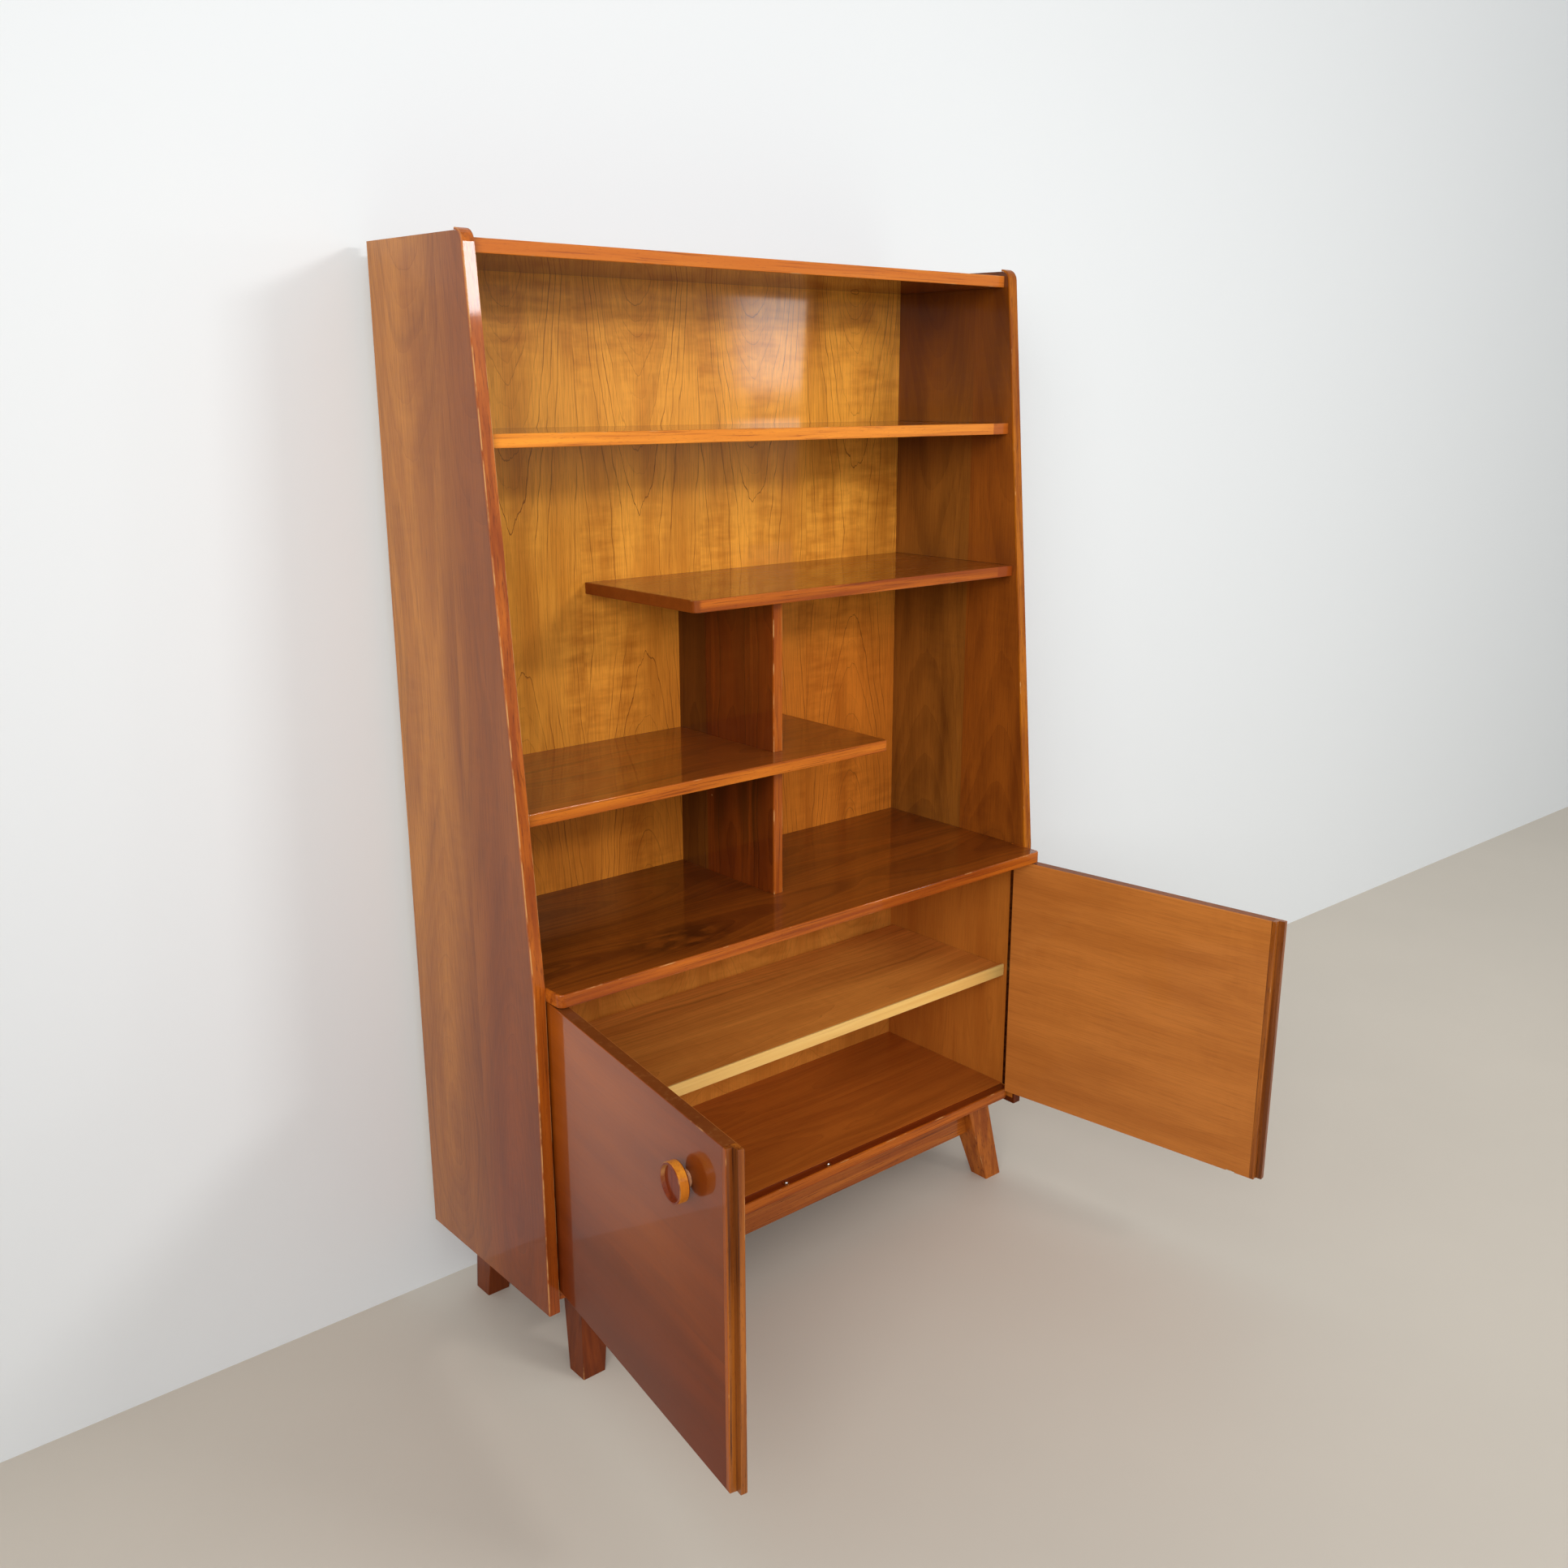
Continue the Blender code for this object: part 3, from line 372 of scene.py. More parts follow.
base_colours = (BASE_PALE, BASE_DEEP, BASE_LINE)
# The left legs take the darker colours as painted shade, where the door and the case shade them.
shaded_leg_colours = (BASE_SHADE, BASE_DARK, BASE_LINE)
for side, colours in (("left", shaded_leg_colours), ("right", base_colours)):
    finish(solid_wood(f"{side}_leg_wood", UPRIGHT, (1, 0, 0), colours, 0.4, gloss=0.28),
           f"front_{side}_leg", f"rear_{side}_leg")
finish(solid_wood("apron_wood", ALONG_X, (0, 1, 0), base_colours, 0.4, 1.3), "front_apron", "rear_apron")
finish(solid_wood("rail_wood", ALONG_Y, (1, 0, 0), base_colours, 0.3), "left_rail", "right_rail")

# Side panels
# Two tall blockboard panels that lean back above the worktop, veneered on both faces. Each face has two
# leaves of upright veneer, a redder one in front and a browner one behind. The cupboard's inside is paler.
SEAM_FROM_FRONT = 0.166
SEAM_FADE = (0.07, 0.13)
SIDE_LEAF = 0.19
# Heights over which the outer faces take painted shade towards the floor.
FOOT_SHADE_RISE = (0.15, 1.05)
# Heights over which the inner faces take painted shade under the top board.
TOP_SHADE_RISE = (1.28, 1.60)
SKIN = 0.001
OUTER_FRONT = ((0.290, 0.076, 0.009, 1), (0.185, 0.042, 0.005, 1))
OUTER_BACK = ((0.580, 0.215, 0.030, 1), (0.370, 0.116, 0.015, 1))
# Darker colours low on the outer faces: painted shade towards the floor.
OUTER_FOOT_SHADE = ((0.225, 0.038, 0.004, 1), (0.140, 0.021, 0.003, 1))
BACK_FOOT_SHADE = ((0.400, 0.122, 0.016, 1), (0.255, 0.066, 0.009, 1))
INNER_FRONT = ((0.335, 0.087, 0.008, 1), (0.138, 0.029, 0.004, 1))
INNER_BACK = ((0.340, 0.116, 0.014, 1), (0.125, 0.037, 0.005, 1))
# Darker colours high on the inner faces: painted shade under the top board.
INNER_TOP_SHADE = ((0.200, 0.050, 0.003, 1), (0.085, 0.018, 0.002, 1))
CUPBOARD = ((0.560, 0.185, 0.025, 1), (0.440, 0.130, 0.016, 1))
# Dark colours for the ends below the cupboard floor and the foot of the right lipping: painted shade.
SIDE_END_SHADE = ((0.120, 0.020, 0.003, 1), (0.075, 0.012, 0.002, 1))
SIDE_LINE = (0.085, 0.018, 0.004, 1)


def make_veneer():
    """Flat-cut veneer in leaves side by side: growth rings that open into arches about each leaf's heart.

    A ring shows where the slice meets it, so its line is the root of the squares of the way across from the
    heart and of the slice's depth under it, which is greatest at the middle and falls off along the leaf.
    """
    inputs = {"Place": None, "Pale": OUTER_BACK[0], "Deep": OUTER_BACK[1], "Line": SIDE_LINE, "Leaf": 0.25,
              "Ring": 0.005, "Depth": 0.03, "Bend": 0.08, "Middle": 1.2, "Sway": 0.02, "Lines": 1.0,
              "Ripple": 0.3, "Streak": 0.3, "Band": 0.6, "Wave": 1.0, "Grain": 1.0, "Seed": 1.0}
    tree, given, result = new_group("Veneer", inputs, {"Color": "Color", "Height": "Float"})
    parts = split(tree, given["Place"])
    count = calculate(tree, "FLOOR", calculate(tree, "DIVIDE", parts[0], given["Leaf"]))
    middle = times(tree, plus(tree, count, 0.5), given["Leaf"])
    across = less(tree, parts[0], middle)
    chance = add_node(tree, "ShaderNodeTexWhiteNoise", {"W": plus(tree, count, given["Seed"])},
                      noise_dimensions="1D").outputs[0]
    slip = times(tree, less(tree, chance, 0.5), 0.09)
    along = plus(tree, parts[2], slip)
    kind = plus(tree, given["Seed"], times(tree, count, 0.12))
    spot = add_node(tree, "ShaderNodeCombineXYZ", {0: across, 1: kind, 2: along}).outputs[0]

    def swing(counts, detail, span):
        """Noise about nought that reaches so far to each side."""
        return times(tree, less(tree, cloud(tree, spot, counts, detail), 0.5), span)

    bent = plus(tree, across, times(tree, swing((6, 1, 1.8), 1.0, 2.0), given["Sway"]))
    bent = plus(tree, bent, times(tree, swing((22, 1, 7), 2.0, 0.010), given["Wave"]))
    away = less(tree, along, given["Middle"])
    tilt = times(tree, away, given["Bend"])
    depth = less(tree, given["Depth"], times(tree, tilt, away))
    depth = plus(tree, depth, swing((5, 1, 4), 2.0, 0.016))
    square = times(tree, bent, bent)
    reach = calculate(tree, "SQRT", plus(tree, square, times(tree, depth, depth)))
    fall = times(tree, times(tree, depth, tilt), 2.0)
    steep = calculate(tree, "SQRT", plus(tree, square, times(tree, fall, fall)))
    steep = larger(tree, calculate(tree, "DIVIDE", steep, larger(tree, reach, 0.001)), 0.10)
    reach = plus(tree, reach, times(tree, swing((60, 1, 16), 3.0, 0.0024), given["Wave"]))
    rings = calculate(tree, "DIVIDE", reach, given["Ring"])
    part = calculate(tree, "FRACT", rings)
    ring_chance = add_node(tree, "ShaderNodeTexWhiteNoise", {"W": calculate(tree, "FLOOR", rings)},
                           noise_dimensions="1D").outputs[0]
    fading = rise(tree, cloud(tree, spot, (14, 1, 5), 2.0), 0.30, 0.58, 0.25, 1.0)
    bold = times(tree, calculate(tree, "POWER", ring_chance, 2.4), given["Lines"])
    bold = times(tree, bold, fading)
    short = times(tree, less(tree, 1.0, part), given["Ring"])
    line = rise(tree, calculate(tree, "DIVIDE", short, steep), 0.0004, 0.0024, 1.0, 0.0)
    line = smaller(tree, times(tree, line, bold), 1.0)

    fibres = rise(tree, cloud(tree, spot, (420, 1, 10), 3.0), 0.40, 0.70)
    pores = rise(tree, cloud(tree, spot, (640, 1, 34), 2.0), 0.54, 0.70)
    by_ring = add_node(tree, "ShaderNodeCombineXYZ", {0: reach, 1: kind, 2: along}).outputs[0]
    plain = cloud(tree, spot, (18, 1, 3), 3.0)
    ringed = times(tree, part, -0.14)
    ringed = plus(tree, less(tree, cloud(tree, by_ring, (52, 1, 1.1), 3.0), plain), ringed)
    broad = plus(tree, plain, times(tree, ringed, given["Band"]))
    patch = rise(tree, cloud(tree, spot, (7, 1, 4), 1.0), 0.38, 0.64)
    ripple = times(tree, swing((16, 1, 70), 2.0, 2.4), patch)
    streak = rise(tree, cloud(tree, by_ring, (85, 3, 1.6), 2.0), 0.58, 0.78)
    tone = rise(tree, broad, 0.22, 0.68)
    tone = plus(tree, tone, times(tree, ripple, given["Ripple"]))
    tone = plus(tree, tone, times(tree, less(tree, chance, 0.5), 0.25))
    tone = smaller(tree, larger(tree, tone, 0.0), 1.0)
    colour = mix_colours(tree, tone, given["Deep"], given["Pale"])
    colour = mix_colours(tree, times(tree, streak, given["Streak"]), colour, given["Line"])
    colour = mix_colours(tree, times(tree, line, 0.85), colour, given["Line"])
    grain = plus(tree, times(tree, fibres, 0.26), times(tree, pores, 0.22))
    grain = times(tree, grain, given["Grain"])
    tree.links.new(mix_colours(tree, grain, colour, given["Line"]), result["Color"])
    tree.links.new(less(tree, 1.0, larger(tree, line, grain)), result["Height"])
    return tree


veneer = make_veneer()


def lay_veneer(tree, place, grain, start, colours, line, **figure):
    """Place the veneer group on a piece, with its grain, its colours and the values of its figure."""
    given = {"Place": turn_to_grain(tree, place, grain, start), "Line": line}
    given.update(zip(("Pale", "Deep"), colours))
    leaves = add_node(tree, "ShaderNodeGroup", {**given, **figure}, node_tree=veneer)
    return leaves.outputs["Color"], leaves.outputs["Height"]


def choose(tree, share, first, second):
    """Blend two pairs of a pale and a deep colour."""
    return tuple(mix_colours(tree, share, a, b) for a, b in zip(first, second))


side_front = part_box("left_side_lipping")[0].y
inner_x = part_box("left_side")[1].x
worktop_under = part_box("worktop")[0].z
seam_y = side_front + SEAM_FROM_FRONT
for side, seed in (("left", 3.0), ("right", 8.0)):
    material, tree, shader, place = new_material(f"{side}_side_veneer")
    parts = split(tree, place)
    inside = calculate(tree, "LESS_THAN", calculate(tree, "ABSOLUTE", parts[0]), abs(inner_x) + SKIN)
    low = calculate(tree, "LESS_THAN", parts[2], worktop_under)
    behind = calculate(tree, "GREATER_THAN", parts[1], seam_y)
    # Painted shade: the outer faces grow darker towards the floor.
    shaded_foot = rise(tree, parts[2], *FOOT_SHADE_RISE, 0.9, 0.0)
    # Painted shade: the inner faces grow darker towards the top board.
    top = rise(tree, parts[2], *TOP_SHADE_RISE)
    fading = rise(tree, parts[1], seam_y - SEAM_FADE[0], seam_y + SEAM_FADE[1])
    outer = choose(tree, fading, choose(tree, shaded_foot, OUTER_FRONT, OUTER_FOOT_SHADE),
                   choose(tree, shaded_foot, OUTER_BACK, BACK_FOOT_SHADE))
    inner = choose(tree, top, choose(tree, behind, INNER_FRONT, INNER_BACK), INNER_TOP_SHADE)
    cupboard = times(tree, inside, low)
    # Painted shade: the inner faces below the cupboard floor are painted dark.
    below = calculate(tree, "LESS_THAN", parts[2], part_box("bottom_board")[0].z)
    colours = choose(tree, inside, outer, choose(tree, low, inner, choose(tree, below, CUPBOARD, SIDE_END_SHADE)))
    colour, height = lay_veneer(tree, place, UPRIGHT, (0, seam_y - SIDE_LEAF, 0), colours, SIDE_LINE,
                                Leaf=SIDE_LEAF, Ring=0.010, Depth=0.12, Bend=0.20, Middle=1.10, Sway=0.05,
                                Ripple=0.15, Streak=0.25, Seed=seed,
                                Band=rise(tree, cupboard, 0.0, 1.0, 0.4, 0.1),
                                Lines=rise(tree, cupboard, 0.0, 1.0, 0.32, 0.12),
                                Grain=rise(tree, cupboard, 0.0, 1.0, 1.0, 0.5))
    wear = rub_through(tree, place, (1, 0, 0), 0.5)
    lacquer(tree, shader, colour, height, wear, 0.52)
    finish(material, f"{side}_side")

# Lippings
# Strips of solid wood, glued to the front edges of the sides, boards and dividers and bent round the corners.
# Their arrises are eased by hand, and there the stain and lacquer have rubbed through.
LIP_BRIGHT = (0.90, 0.310, 0.026, 1)
LIP_GOLD = (0.62, 0.175, 0.014, 1)
LIP_PALE = (0.54, 0.134, 0.010, 1)
LIP_WARM = (0.40, 0.090, 0.008, 1)
LIP_DEEP = (0.27, 0.050, 0.005, 1)
# Darker colours at the foot of the left lipping: painted shade towards the floor.
LIP_FOOT_SHADE = (0.34, 0.066, 0.006, 1)
LIP_SHADE_DARK = (0.17, 0.028, 0.004, 1)
LIP_LINE = (0.10, 0.018, 0.003, 1)
LIP_RIGHT = ((0.480, 0.142, 0.007, 1), (0.250, 0.056, 0.004, 1), LIP_LINE)
LIP_RETURN = ((0.250, 0.054, 0.006, 1), (0.215, 0.045, 0.005, 1), (0.180, 0.036, 0.004, 1))
LIP_END = 0.482
LIP_SEAM = 0.0005
LIP_BENT = (0.014, 0.007)
LIP_LOWEST = 0.14
lip_colours = (LIP_PALE, LIP_DEEP, LIP_LINE)
# Each side lipping grows darker towards its foot as painted shade, the right one dark at the bottom.
for side, colours, gloss, rub, foot_shade_top, shaded_foot in (
        ("left", lip_colours, 0.45, 0.75, 0.70, (LIP_FOOT_SHADE, LIP_SHADE_DARK, LIP_LINE)),
        ("right", LIP_RIGHT, 0.12, 0.35, 0.30, (*SIDE_END_SHADE, LIP_LINE))):
    finish(solid_wood(f"{side}_side_lipping", UPRIGHT, (1, 0, 0), colours, rub, gloss=gloss,
                      changes=[((0, 0, 1), foot_shade_top, LIP_LOWEST, shaded_foot)]), f"{side}_side_lipping")
lip_end = ((1, 0, 0), LIP_END, LIP_END + LIP_SEAM)
finish(solid_wood("top_lipping", ALONG_X, (0, 0, 1), (LIP_GOLD, LIP_PALE, LIP_DEEP), 0.5),
       "top_board_lipping")
finish(solid_wood("upper_lipping", ALONG_X, (0, 0, 1), (LIP_BRIGHT, LIP_GOLD, LIP_DEEP), 0.4,
                  changes=[(*lip_end, (LIP_GOLD, LIP_WARM, LIP_LINE))]), "upper_shelf_lipping")
half_end = -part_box("right_half_shelf_lipping")[0].x
half_ends = [(*lip_end, (LIP_DEEP, LIP_DEEP, LIP_LINE)),
             ((-1, 0, 0), half_end - LIP_BENT[0], half_end - LIP_BENT[1], LIP_RETURN)]
finish(solid_wood("half_lipping", ALONG_X, (0, 0, 1), lip_colours, 0.3, changes=half_ends),
       "right_half_shelf_lipping")
finish(solid_wood("left_half_lipping", ALONG_X, (0, 0, 1), (LIP_GOLD, LIP_WARM, LIP_LINE), 0.3, gloss=0.12),
       "left_half_shelf_lipping")
finish(solid_wood("board_lipping", ALONG_X, (0, 0, 1), lip_colours, 0.45, gloss=0.26),
       "worktop_lipping", "bottom_board_lipping")
finish(solid_wood("divider_lipping", UPRIGHT, (1, 0, 0), lip_colours, 0.6, gloss=0.25),
       "upper_divider_lipping", "lower_divider_lipping")

# Boards of the bookcase
# The top board, the shelves and the worktop are blockboard, veneered lengthwise in a darker red-brown and
# polished to a high gloss. Their ends are housed in the sides.
SHELF = ((0.330, 0.080, 0.008, 1), (0.165, 0.034, 0.004, 1))
WORKTOP = ((0.270, 0.062, 0.006, 1), (0.110, 0.020, 0.003, 1))
SHELF_LINE = (0.050, 0.010, 0.002, 1)
BURL = (-0.255, 0.112, 0.0)
BURL_SPAN = (0.13, 0.07, 1.0)
LEAF_TRIM = 0.02
for name, seed, middle, colours, gloss in (("top_board", 2.0, 0.1, SHELF, 0.85),
                                           ("upper_shelf", 5.0, -0.2, SHELF, 0.85),
                                           ("right_half_shelf", 9.0, 0.3, SHELF, 0.85),
                                           ("left_half_shelf", 12.0, -0.3, SHELF, 1.0),
                                           ("worktop", 15.0, 0.25, WORKTOP, 0.85)):
    material, tree, shader, place = new_material(f"{name}_veneer")
    start = (0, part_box(name)[0].y - LEAF_TRIM, 0)
    colour, height = lay_veneer(tree, place, ALONG_X, start, colours, SHELF_LINE, Leaf=0.21, Ring=0.009,
                                Depth=0.08, Bend=0.15, Middle=middle, Sway=0.06, Lines=0.8, Ripple=0.15,
                                Streak=0.7, Band=0.8, Seed=seed)
    if name == "worktop":
        away = on_vectors(tree, "DIVIDE", on_vectors(tree, "SUBTRACT", place, BURL), BURL_SPAN)
        away = on_vectors(tree, "MULTIPLY", away, (1, 1, 0))
        away = add_node(tree, "ShaderNodeVectorMath", {0: away}, operation="LENGTH").outputs["Value"]
        mottle = rise(tree, cloud(tree, place, (26, 60, 1), 4.0), 0.38, 0.60)
        burl = times(tree, rise(tree, away, 0.35, 1.0, 0.75, 0.0), mottle)
        colour = mix_colours(tree, burl, colour, SHELF_LINE)
    wear = rub_through(tree, place, (0, 0, 1), 0.4)
    lacquer(tree, shader, colour, height, wear, gloss)
    finish(material, name)

# Dividers
# Two short uprights in the middle, of the same board, with dark upright stripes. Each is housed in the boards
# above and below it.
DIVIDER = ((0.230, 0.042, 0.004, 1), (0.085, 0.012, 0.002, 1))
DIVIDER_BACK = ((0.190, 0.056, 0.007, 1), (0.080, 0.020, 0.003, 1))
DIVIDER_SEAM = 0.075
for name, seed in (("upper_divider", 21.0), ("lower_divider", 24.0)):
    material, tree, shader, place = new_material(f"{name}_veneer")
    parts = split(tree, place)
    behind = calculate(tree, "GREATER_THAN", parts[1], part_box(name)[1].y - DIVIDER_SEAM)
    colours = choose(tree, behind, DIVIDER, DIVIDER_BACK)
    colour, height = lay_veneer(tree, place, UPRIGHT, (0, 0.13, 0), colours, SHELF_LINE, Leaf=0.105,
                                Ring=0.006, Depth=0.09, Bend=0.02, Middle=0.9, Sway=0.02, Lines=1.2,
                                Ripple=0.05, Streak=0.9, Seed=seed)
    wear = rub_through(tree, place, (1, 0, 0), 0.4)
    lacquer(tree, shader, colour, height, wear)
    finish(material, name)

# Back panels
# Thin plywood, let into rebates of the sides and nailed from behind. The bookcase's panel is faced with
# golden leaves of one log laid side by side, the cupboard's panel is plain, and both are raw wood behind.
GOLD = ((0.980, 0.415, 0.050, 1), (0.610, 0.210, 0.020, 1))
GOLD_LOW = ((0.720, 0.212, 0.021, 1), (0.470, 0.122, 0.011, 1))
GOLD_LINE = (0.250, 0.074, 0.010, 1)
PLAIN = ((0.790, 0.300, 0.046, 1), (0.605, 0.204, 0.027, 1))
RAW = ((0.520, 0.370, 0.215, 1), (0.400, 0.265, 0.140, 1))
RAW_LINE = (0.240, 0.145, 0.070, 1)
STEEL = ((0.62, 0.62, 0.63, 1), (0.40, 0.40, 0.41, 1))
NAIL_INSET = 0.005
NAIL_PITCH = 0.115
NAIL_RADIUS = 0.0017
NAIL_RISE = 0.0005
GOLD_LEAF = 0.247
GOLD_HEART = -0.083
LOW_FADE = (0.95, 1.30)
LOWEST_FADE = (0.82, 0.98)
LEFT_FADE = (-0.45, 0.2)
POLISH_RISE = (1.25, 1.42)


def metal(name, colours, polish):
    """Metal with a dull film in blotches and fine scratches."""
    material, tree, shader, place = new_material(name)
    film = rise(tree, cloud(tree, place, (130, 130, 130), 4.0), 0.35, 0.70)
    scratches = cloud(tree, place, (2200, 2200, 180), 1.0)
    tree.links.new(mix_colours(tree, film, colours[0], colours[1]), shader.inputs["Base Color"])
    tree.links.new(plus(tree, polish, times(tree, scratches, 0.18)), shader.inputs["Roughness"])
    shader.inputs["Metallic"].default_value = 1.0
    return material


def dome(bm, centre, out, radius, crown, cut=None):
    """Build a low domed head on a face, in two halves beside a slot where a cut direction is given."""
    across = cut or out.orthogonal().normalized()
    beside = out.cross(across)
    gap = radius * 0.14 if cut else 0.0
    for half in (1, -1):
        rims = []
        for share, lift in ((1.0, 0.0), (0.94, 0.45), (0.70, 0.80), (0.36, 0.97)):
            rim = []
            for step in range(9):
                angle = math.pi * step / 8
                along = across * (math.cos(angle) * radius * share)
                aside = beside * (half * (gap + math.sin(angle) * (radius - gap) * share))
                rim.append(bm.verts.new(centre + along + aside + out * (crown * lift)))
            rims.append(rim)
        for lower, upper in zip(rims, rims[1:]):
            for step in range(8):
                ring = [lower[step], lower[step + 1], upper[step + 1], upper[step]]
                bm.faces.new(ring if half > 0 else ring[::-1])
        top = rims[-1]
        bm.faces.new(top if half > 0 else top[::-1])
        wall = [rim[0] for rim in rims] + [rim[-1] for rim in reversed(rims)]
        bm.faces.new(wall[::-1] if half > 0 else wall)


for name, pair, seed, lines, grain in (("upper_back", GOLD, 31.0, 1.35, 1.0),
                                       ("lower_back", PLAIN, 34.0, 0.4, 0.5)):
    material, tree, shader, place = new_material(f"{name}_veneer")
    parts = split(tree, place)
    raw = calculate(tree, "GREATER_THAN", parts[1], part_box(name)[1].y - SKIN)
    faced = pair
    if name == "upper_back":
        redder = larger(tree, rise(tree, parts[2], *LOWEST_FADE, 0.8, 0.0), rise(tree, parts[0], *LEFT_FADE))
        redder = times(tree, rise(tree, parts[2], *LOW_FADE, 1.0, 0.0), redder)
        faced = choose(tree, redder, pair, GOLD_LOW)
    colours = choose(tree, raw, faced, RAW)
    line = mix_colours(tree, raw, GOLD_LINE, RAW_LINE)
    start = (GOLD_HEART - GOLD_LEAF / 2, 0, 0)
    colour, height = lay_veneer(tree, place, ((1, 0, 0), (0, 0, 1)), start, colours, line,
                                Leaf=GOLD_LEAF, Ring=0.0055, Depth=0.092, Bend=0.28, Middle=1.18, Sway=0.014,
                                Lines=rise(tree, raw, 0.0, 1.0, lines, lines * 0.4), Ripple=0.75, Streak=0.20,
                                Band=0.2, Wave=1.9, Grain=grain, Seed=seed)
    lacquer(tree, shader, colour, height, 0.0)
    shader.inputs["Coat Roughness"].default_value = 0.09
    polish = times(tree, rise(tree, parts[2], *POLISH_RISE, 0.04, 0.45), less(tree, 1.0, raw))
    tree.links.new(polish, shader.inputs["Coat Weight"])
    tree.links.new(rise(tree, raw, 0.0, 1.0, 0.34, 0.75), shader.inputs["Roughness"])
    finish(material, name)

steel = metal("steel", STEEL, 0.08)
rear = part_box("upper_back")[1].y
side_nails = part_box("upper_back")[1].x - NAIL_INSET
inset = NAIL_INSET * 2
nail_rows = {"upper_back": (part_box("worktop")[0].z + inset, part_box("top_board")[0].z + inset),
             "lower_back": (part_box("bottom_board")[0].z + inset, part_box("lower_back")[1].z - inset)}
for name, (low, high) in nail_rows.items():
    steps = round((high - low) / NAIL_PITCH)
    heights = [low + (high - low) * step / steps for step in range(steps + 1)]
    places = [(x, z) for x in (-side_nails, side_nails) for z in heights]
    rows = (low, high) if name == "upper_back" else (low,)
    places += [(side_nails * (step / 4 - 1), z) for z in rows for step in range(1, 8)]
    heads = bmesh.new()
    for x, z in places:
        dome(heads, Vector((x, rear, z)), Vector((0, 1, 0)), NAIL_RADIUS, NAIL_RISE)
    nails = add_mesh(f"{name}_nails", heads, steel)
    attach(nails, "case")

# Cupboard floor
# A veneered board that closes the cupboard below. Its front strip is a step lower and darker, where the
# shut doors stand over it.
FLOOR_BOARD = ((0.520, 0.150, 0.019, 1), (0.350, 0.089, 0.012, 1))
LEDGE = ((0.220, 0.034, 0.004, 1), (0.140, 0.020, 0.003, 1))
material, tree, shader, place = new_material("cupboard_floor_veneer")
parts = split(tree, place)
ledge = calculate(tree, "LESS_THAN", parts[2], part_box("bottom_board")[1].z - SKIN)
colours = choose(tree, ledge, FLOOR_BOARD, LEDGE)
colour, height = lay_veneer(tree, place, ALONG_X, (0, 0.10, 0), colours, SHELF_LINE, Leaf=0.17, Ring=0.008,
                            Depth=0.07, Bend=0.05, Middle=0.2, Sway=0.04, Lines=0.3, Ripple=0.1, Streak=0.14,
                            Grain=0.5, Seed=41.0)
wear = rub_through(tree, place, (0, 0, 1), 0.4)
lacquer(tree, shader, colour, height, wear)
finish(material, "bottom_board")

# Loose shelf and its pins
# A veneered board with a pale maple lip that stands a little above it. It lies on four wooden pins that are
# pushed into the sides.
LOOSE = ((0.900, 0.335, 0.058, 1), (0.620, 0.200, 0.032, 1))
MAPLE = ((0.910, 0.600, 0.200, 1), (0.820, 0.480, 0.135, 1), (0.560, 0.280, 0.070, 1))
PIN_WOOD = ((0.620, 0.420, 0.220, 1), (0.480, 0.300, 0.140, 1), (0.300, 0.160, 0.070, 1))
material, tree, shader, place = new_material("loose_shelf_veneer")
colour, height = lay_veneer(tree, place, ALONG_X, (0, 0.02, 0), LOOSE, SHELF_LINE, Leaf=0.33, Ring=0.010,
                            Depth=0.09, Bend=0.03, Middle=0.30, Sway=0.05, Lines=0.4, Ripple=0.2, Streak=0.4,
                            Grain=0.5, Seed=44.0)
wear = rub_through(tree, place, (0, 0, 1), 0.3)
lacquer(tree, shader, colour, height, wear)
finish(material, "cupboard_shelf")
finish(solid_wood("loose_shelf_lip", ALONG_X, (0, 0, 1), MAPLE, 0.2, 0.4), "cupboard_shelf_lipping")
finish(solid_wood("shelf_pin_wood", ((0, 1, 0), (1, 0, 0)), (1, 0, 0), PIN_WOOD, 0.0),
       *(f"{end}_{side}_shelf_pin" for end in ("front", "rear") for side in ("left", "right")))

# Ball catches and strikes
# Turned brass cases let into the ledge, each with a steel ball held up by a coil spring. A small brass plate
# under each door takes the ball when the door is shut.
BRASS = ((0.70, 0.48, 0.18, 1), (0.38, 0.24, 0.09, 1))
brass = metal("brass", BRASS, 0.20)
for side in ("left", "right"):
    finish(brass, f"{side}_catch_case", f"{side}_strike_plate")
    finish(steel, f"{side}_catch_ball", f"{side}_catch_spring")

# Doors
# Two blockboard doors, veneered across, red-brown and glossy outside and lighter inside. A solid strip on
# the free edge of each carries half of the lap that closes the gap between them.
DOOR_OUT = ((0.390, 0.084, 0.004, 1), (0.290, 0.058, 0.003, 1))
# Darker colours for the low part and the free edge of the outer faces: painted shade.
DOOR_FOOT_SHADE = ((0.170, 0.026, 0.003, 1), (0.125, 0.018, 0.002, 1))
DOOR_IN = ((0.580, 0.198, 0.037, 1), (0.430, 0.133, 0.022, 1))
DOOR_RIM = ((0.250, 0.066, 0.010, 1), (0.135, 0.031, 0.006, 1))
DOOR_EDGE = ((0.420, 0.125, 0.014, 1), (0.190, 0.044, 0.006, 1), (0.075, 0.016, 0.003, 1))
# A dark band along the lap's step on the edge strip: a painted shadow line.
DOOR_STEP_SHADOW = ((0.310, 0.090, 0.014, 1), (0.155, 0.040, 0.007, 1), (0.060, 0.014, 0.004, 1))
DOOR_LINE = (0.140, 0.032, 0.007, 1)
FACE_SKIN = 0.0012
OUTER_FACE = 0.002
STEP_FACE = 0.012
INNER_FACE = 0.022
STEP_SHADOW_BAND = (0.0011, 0.0013)
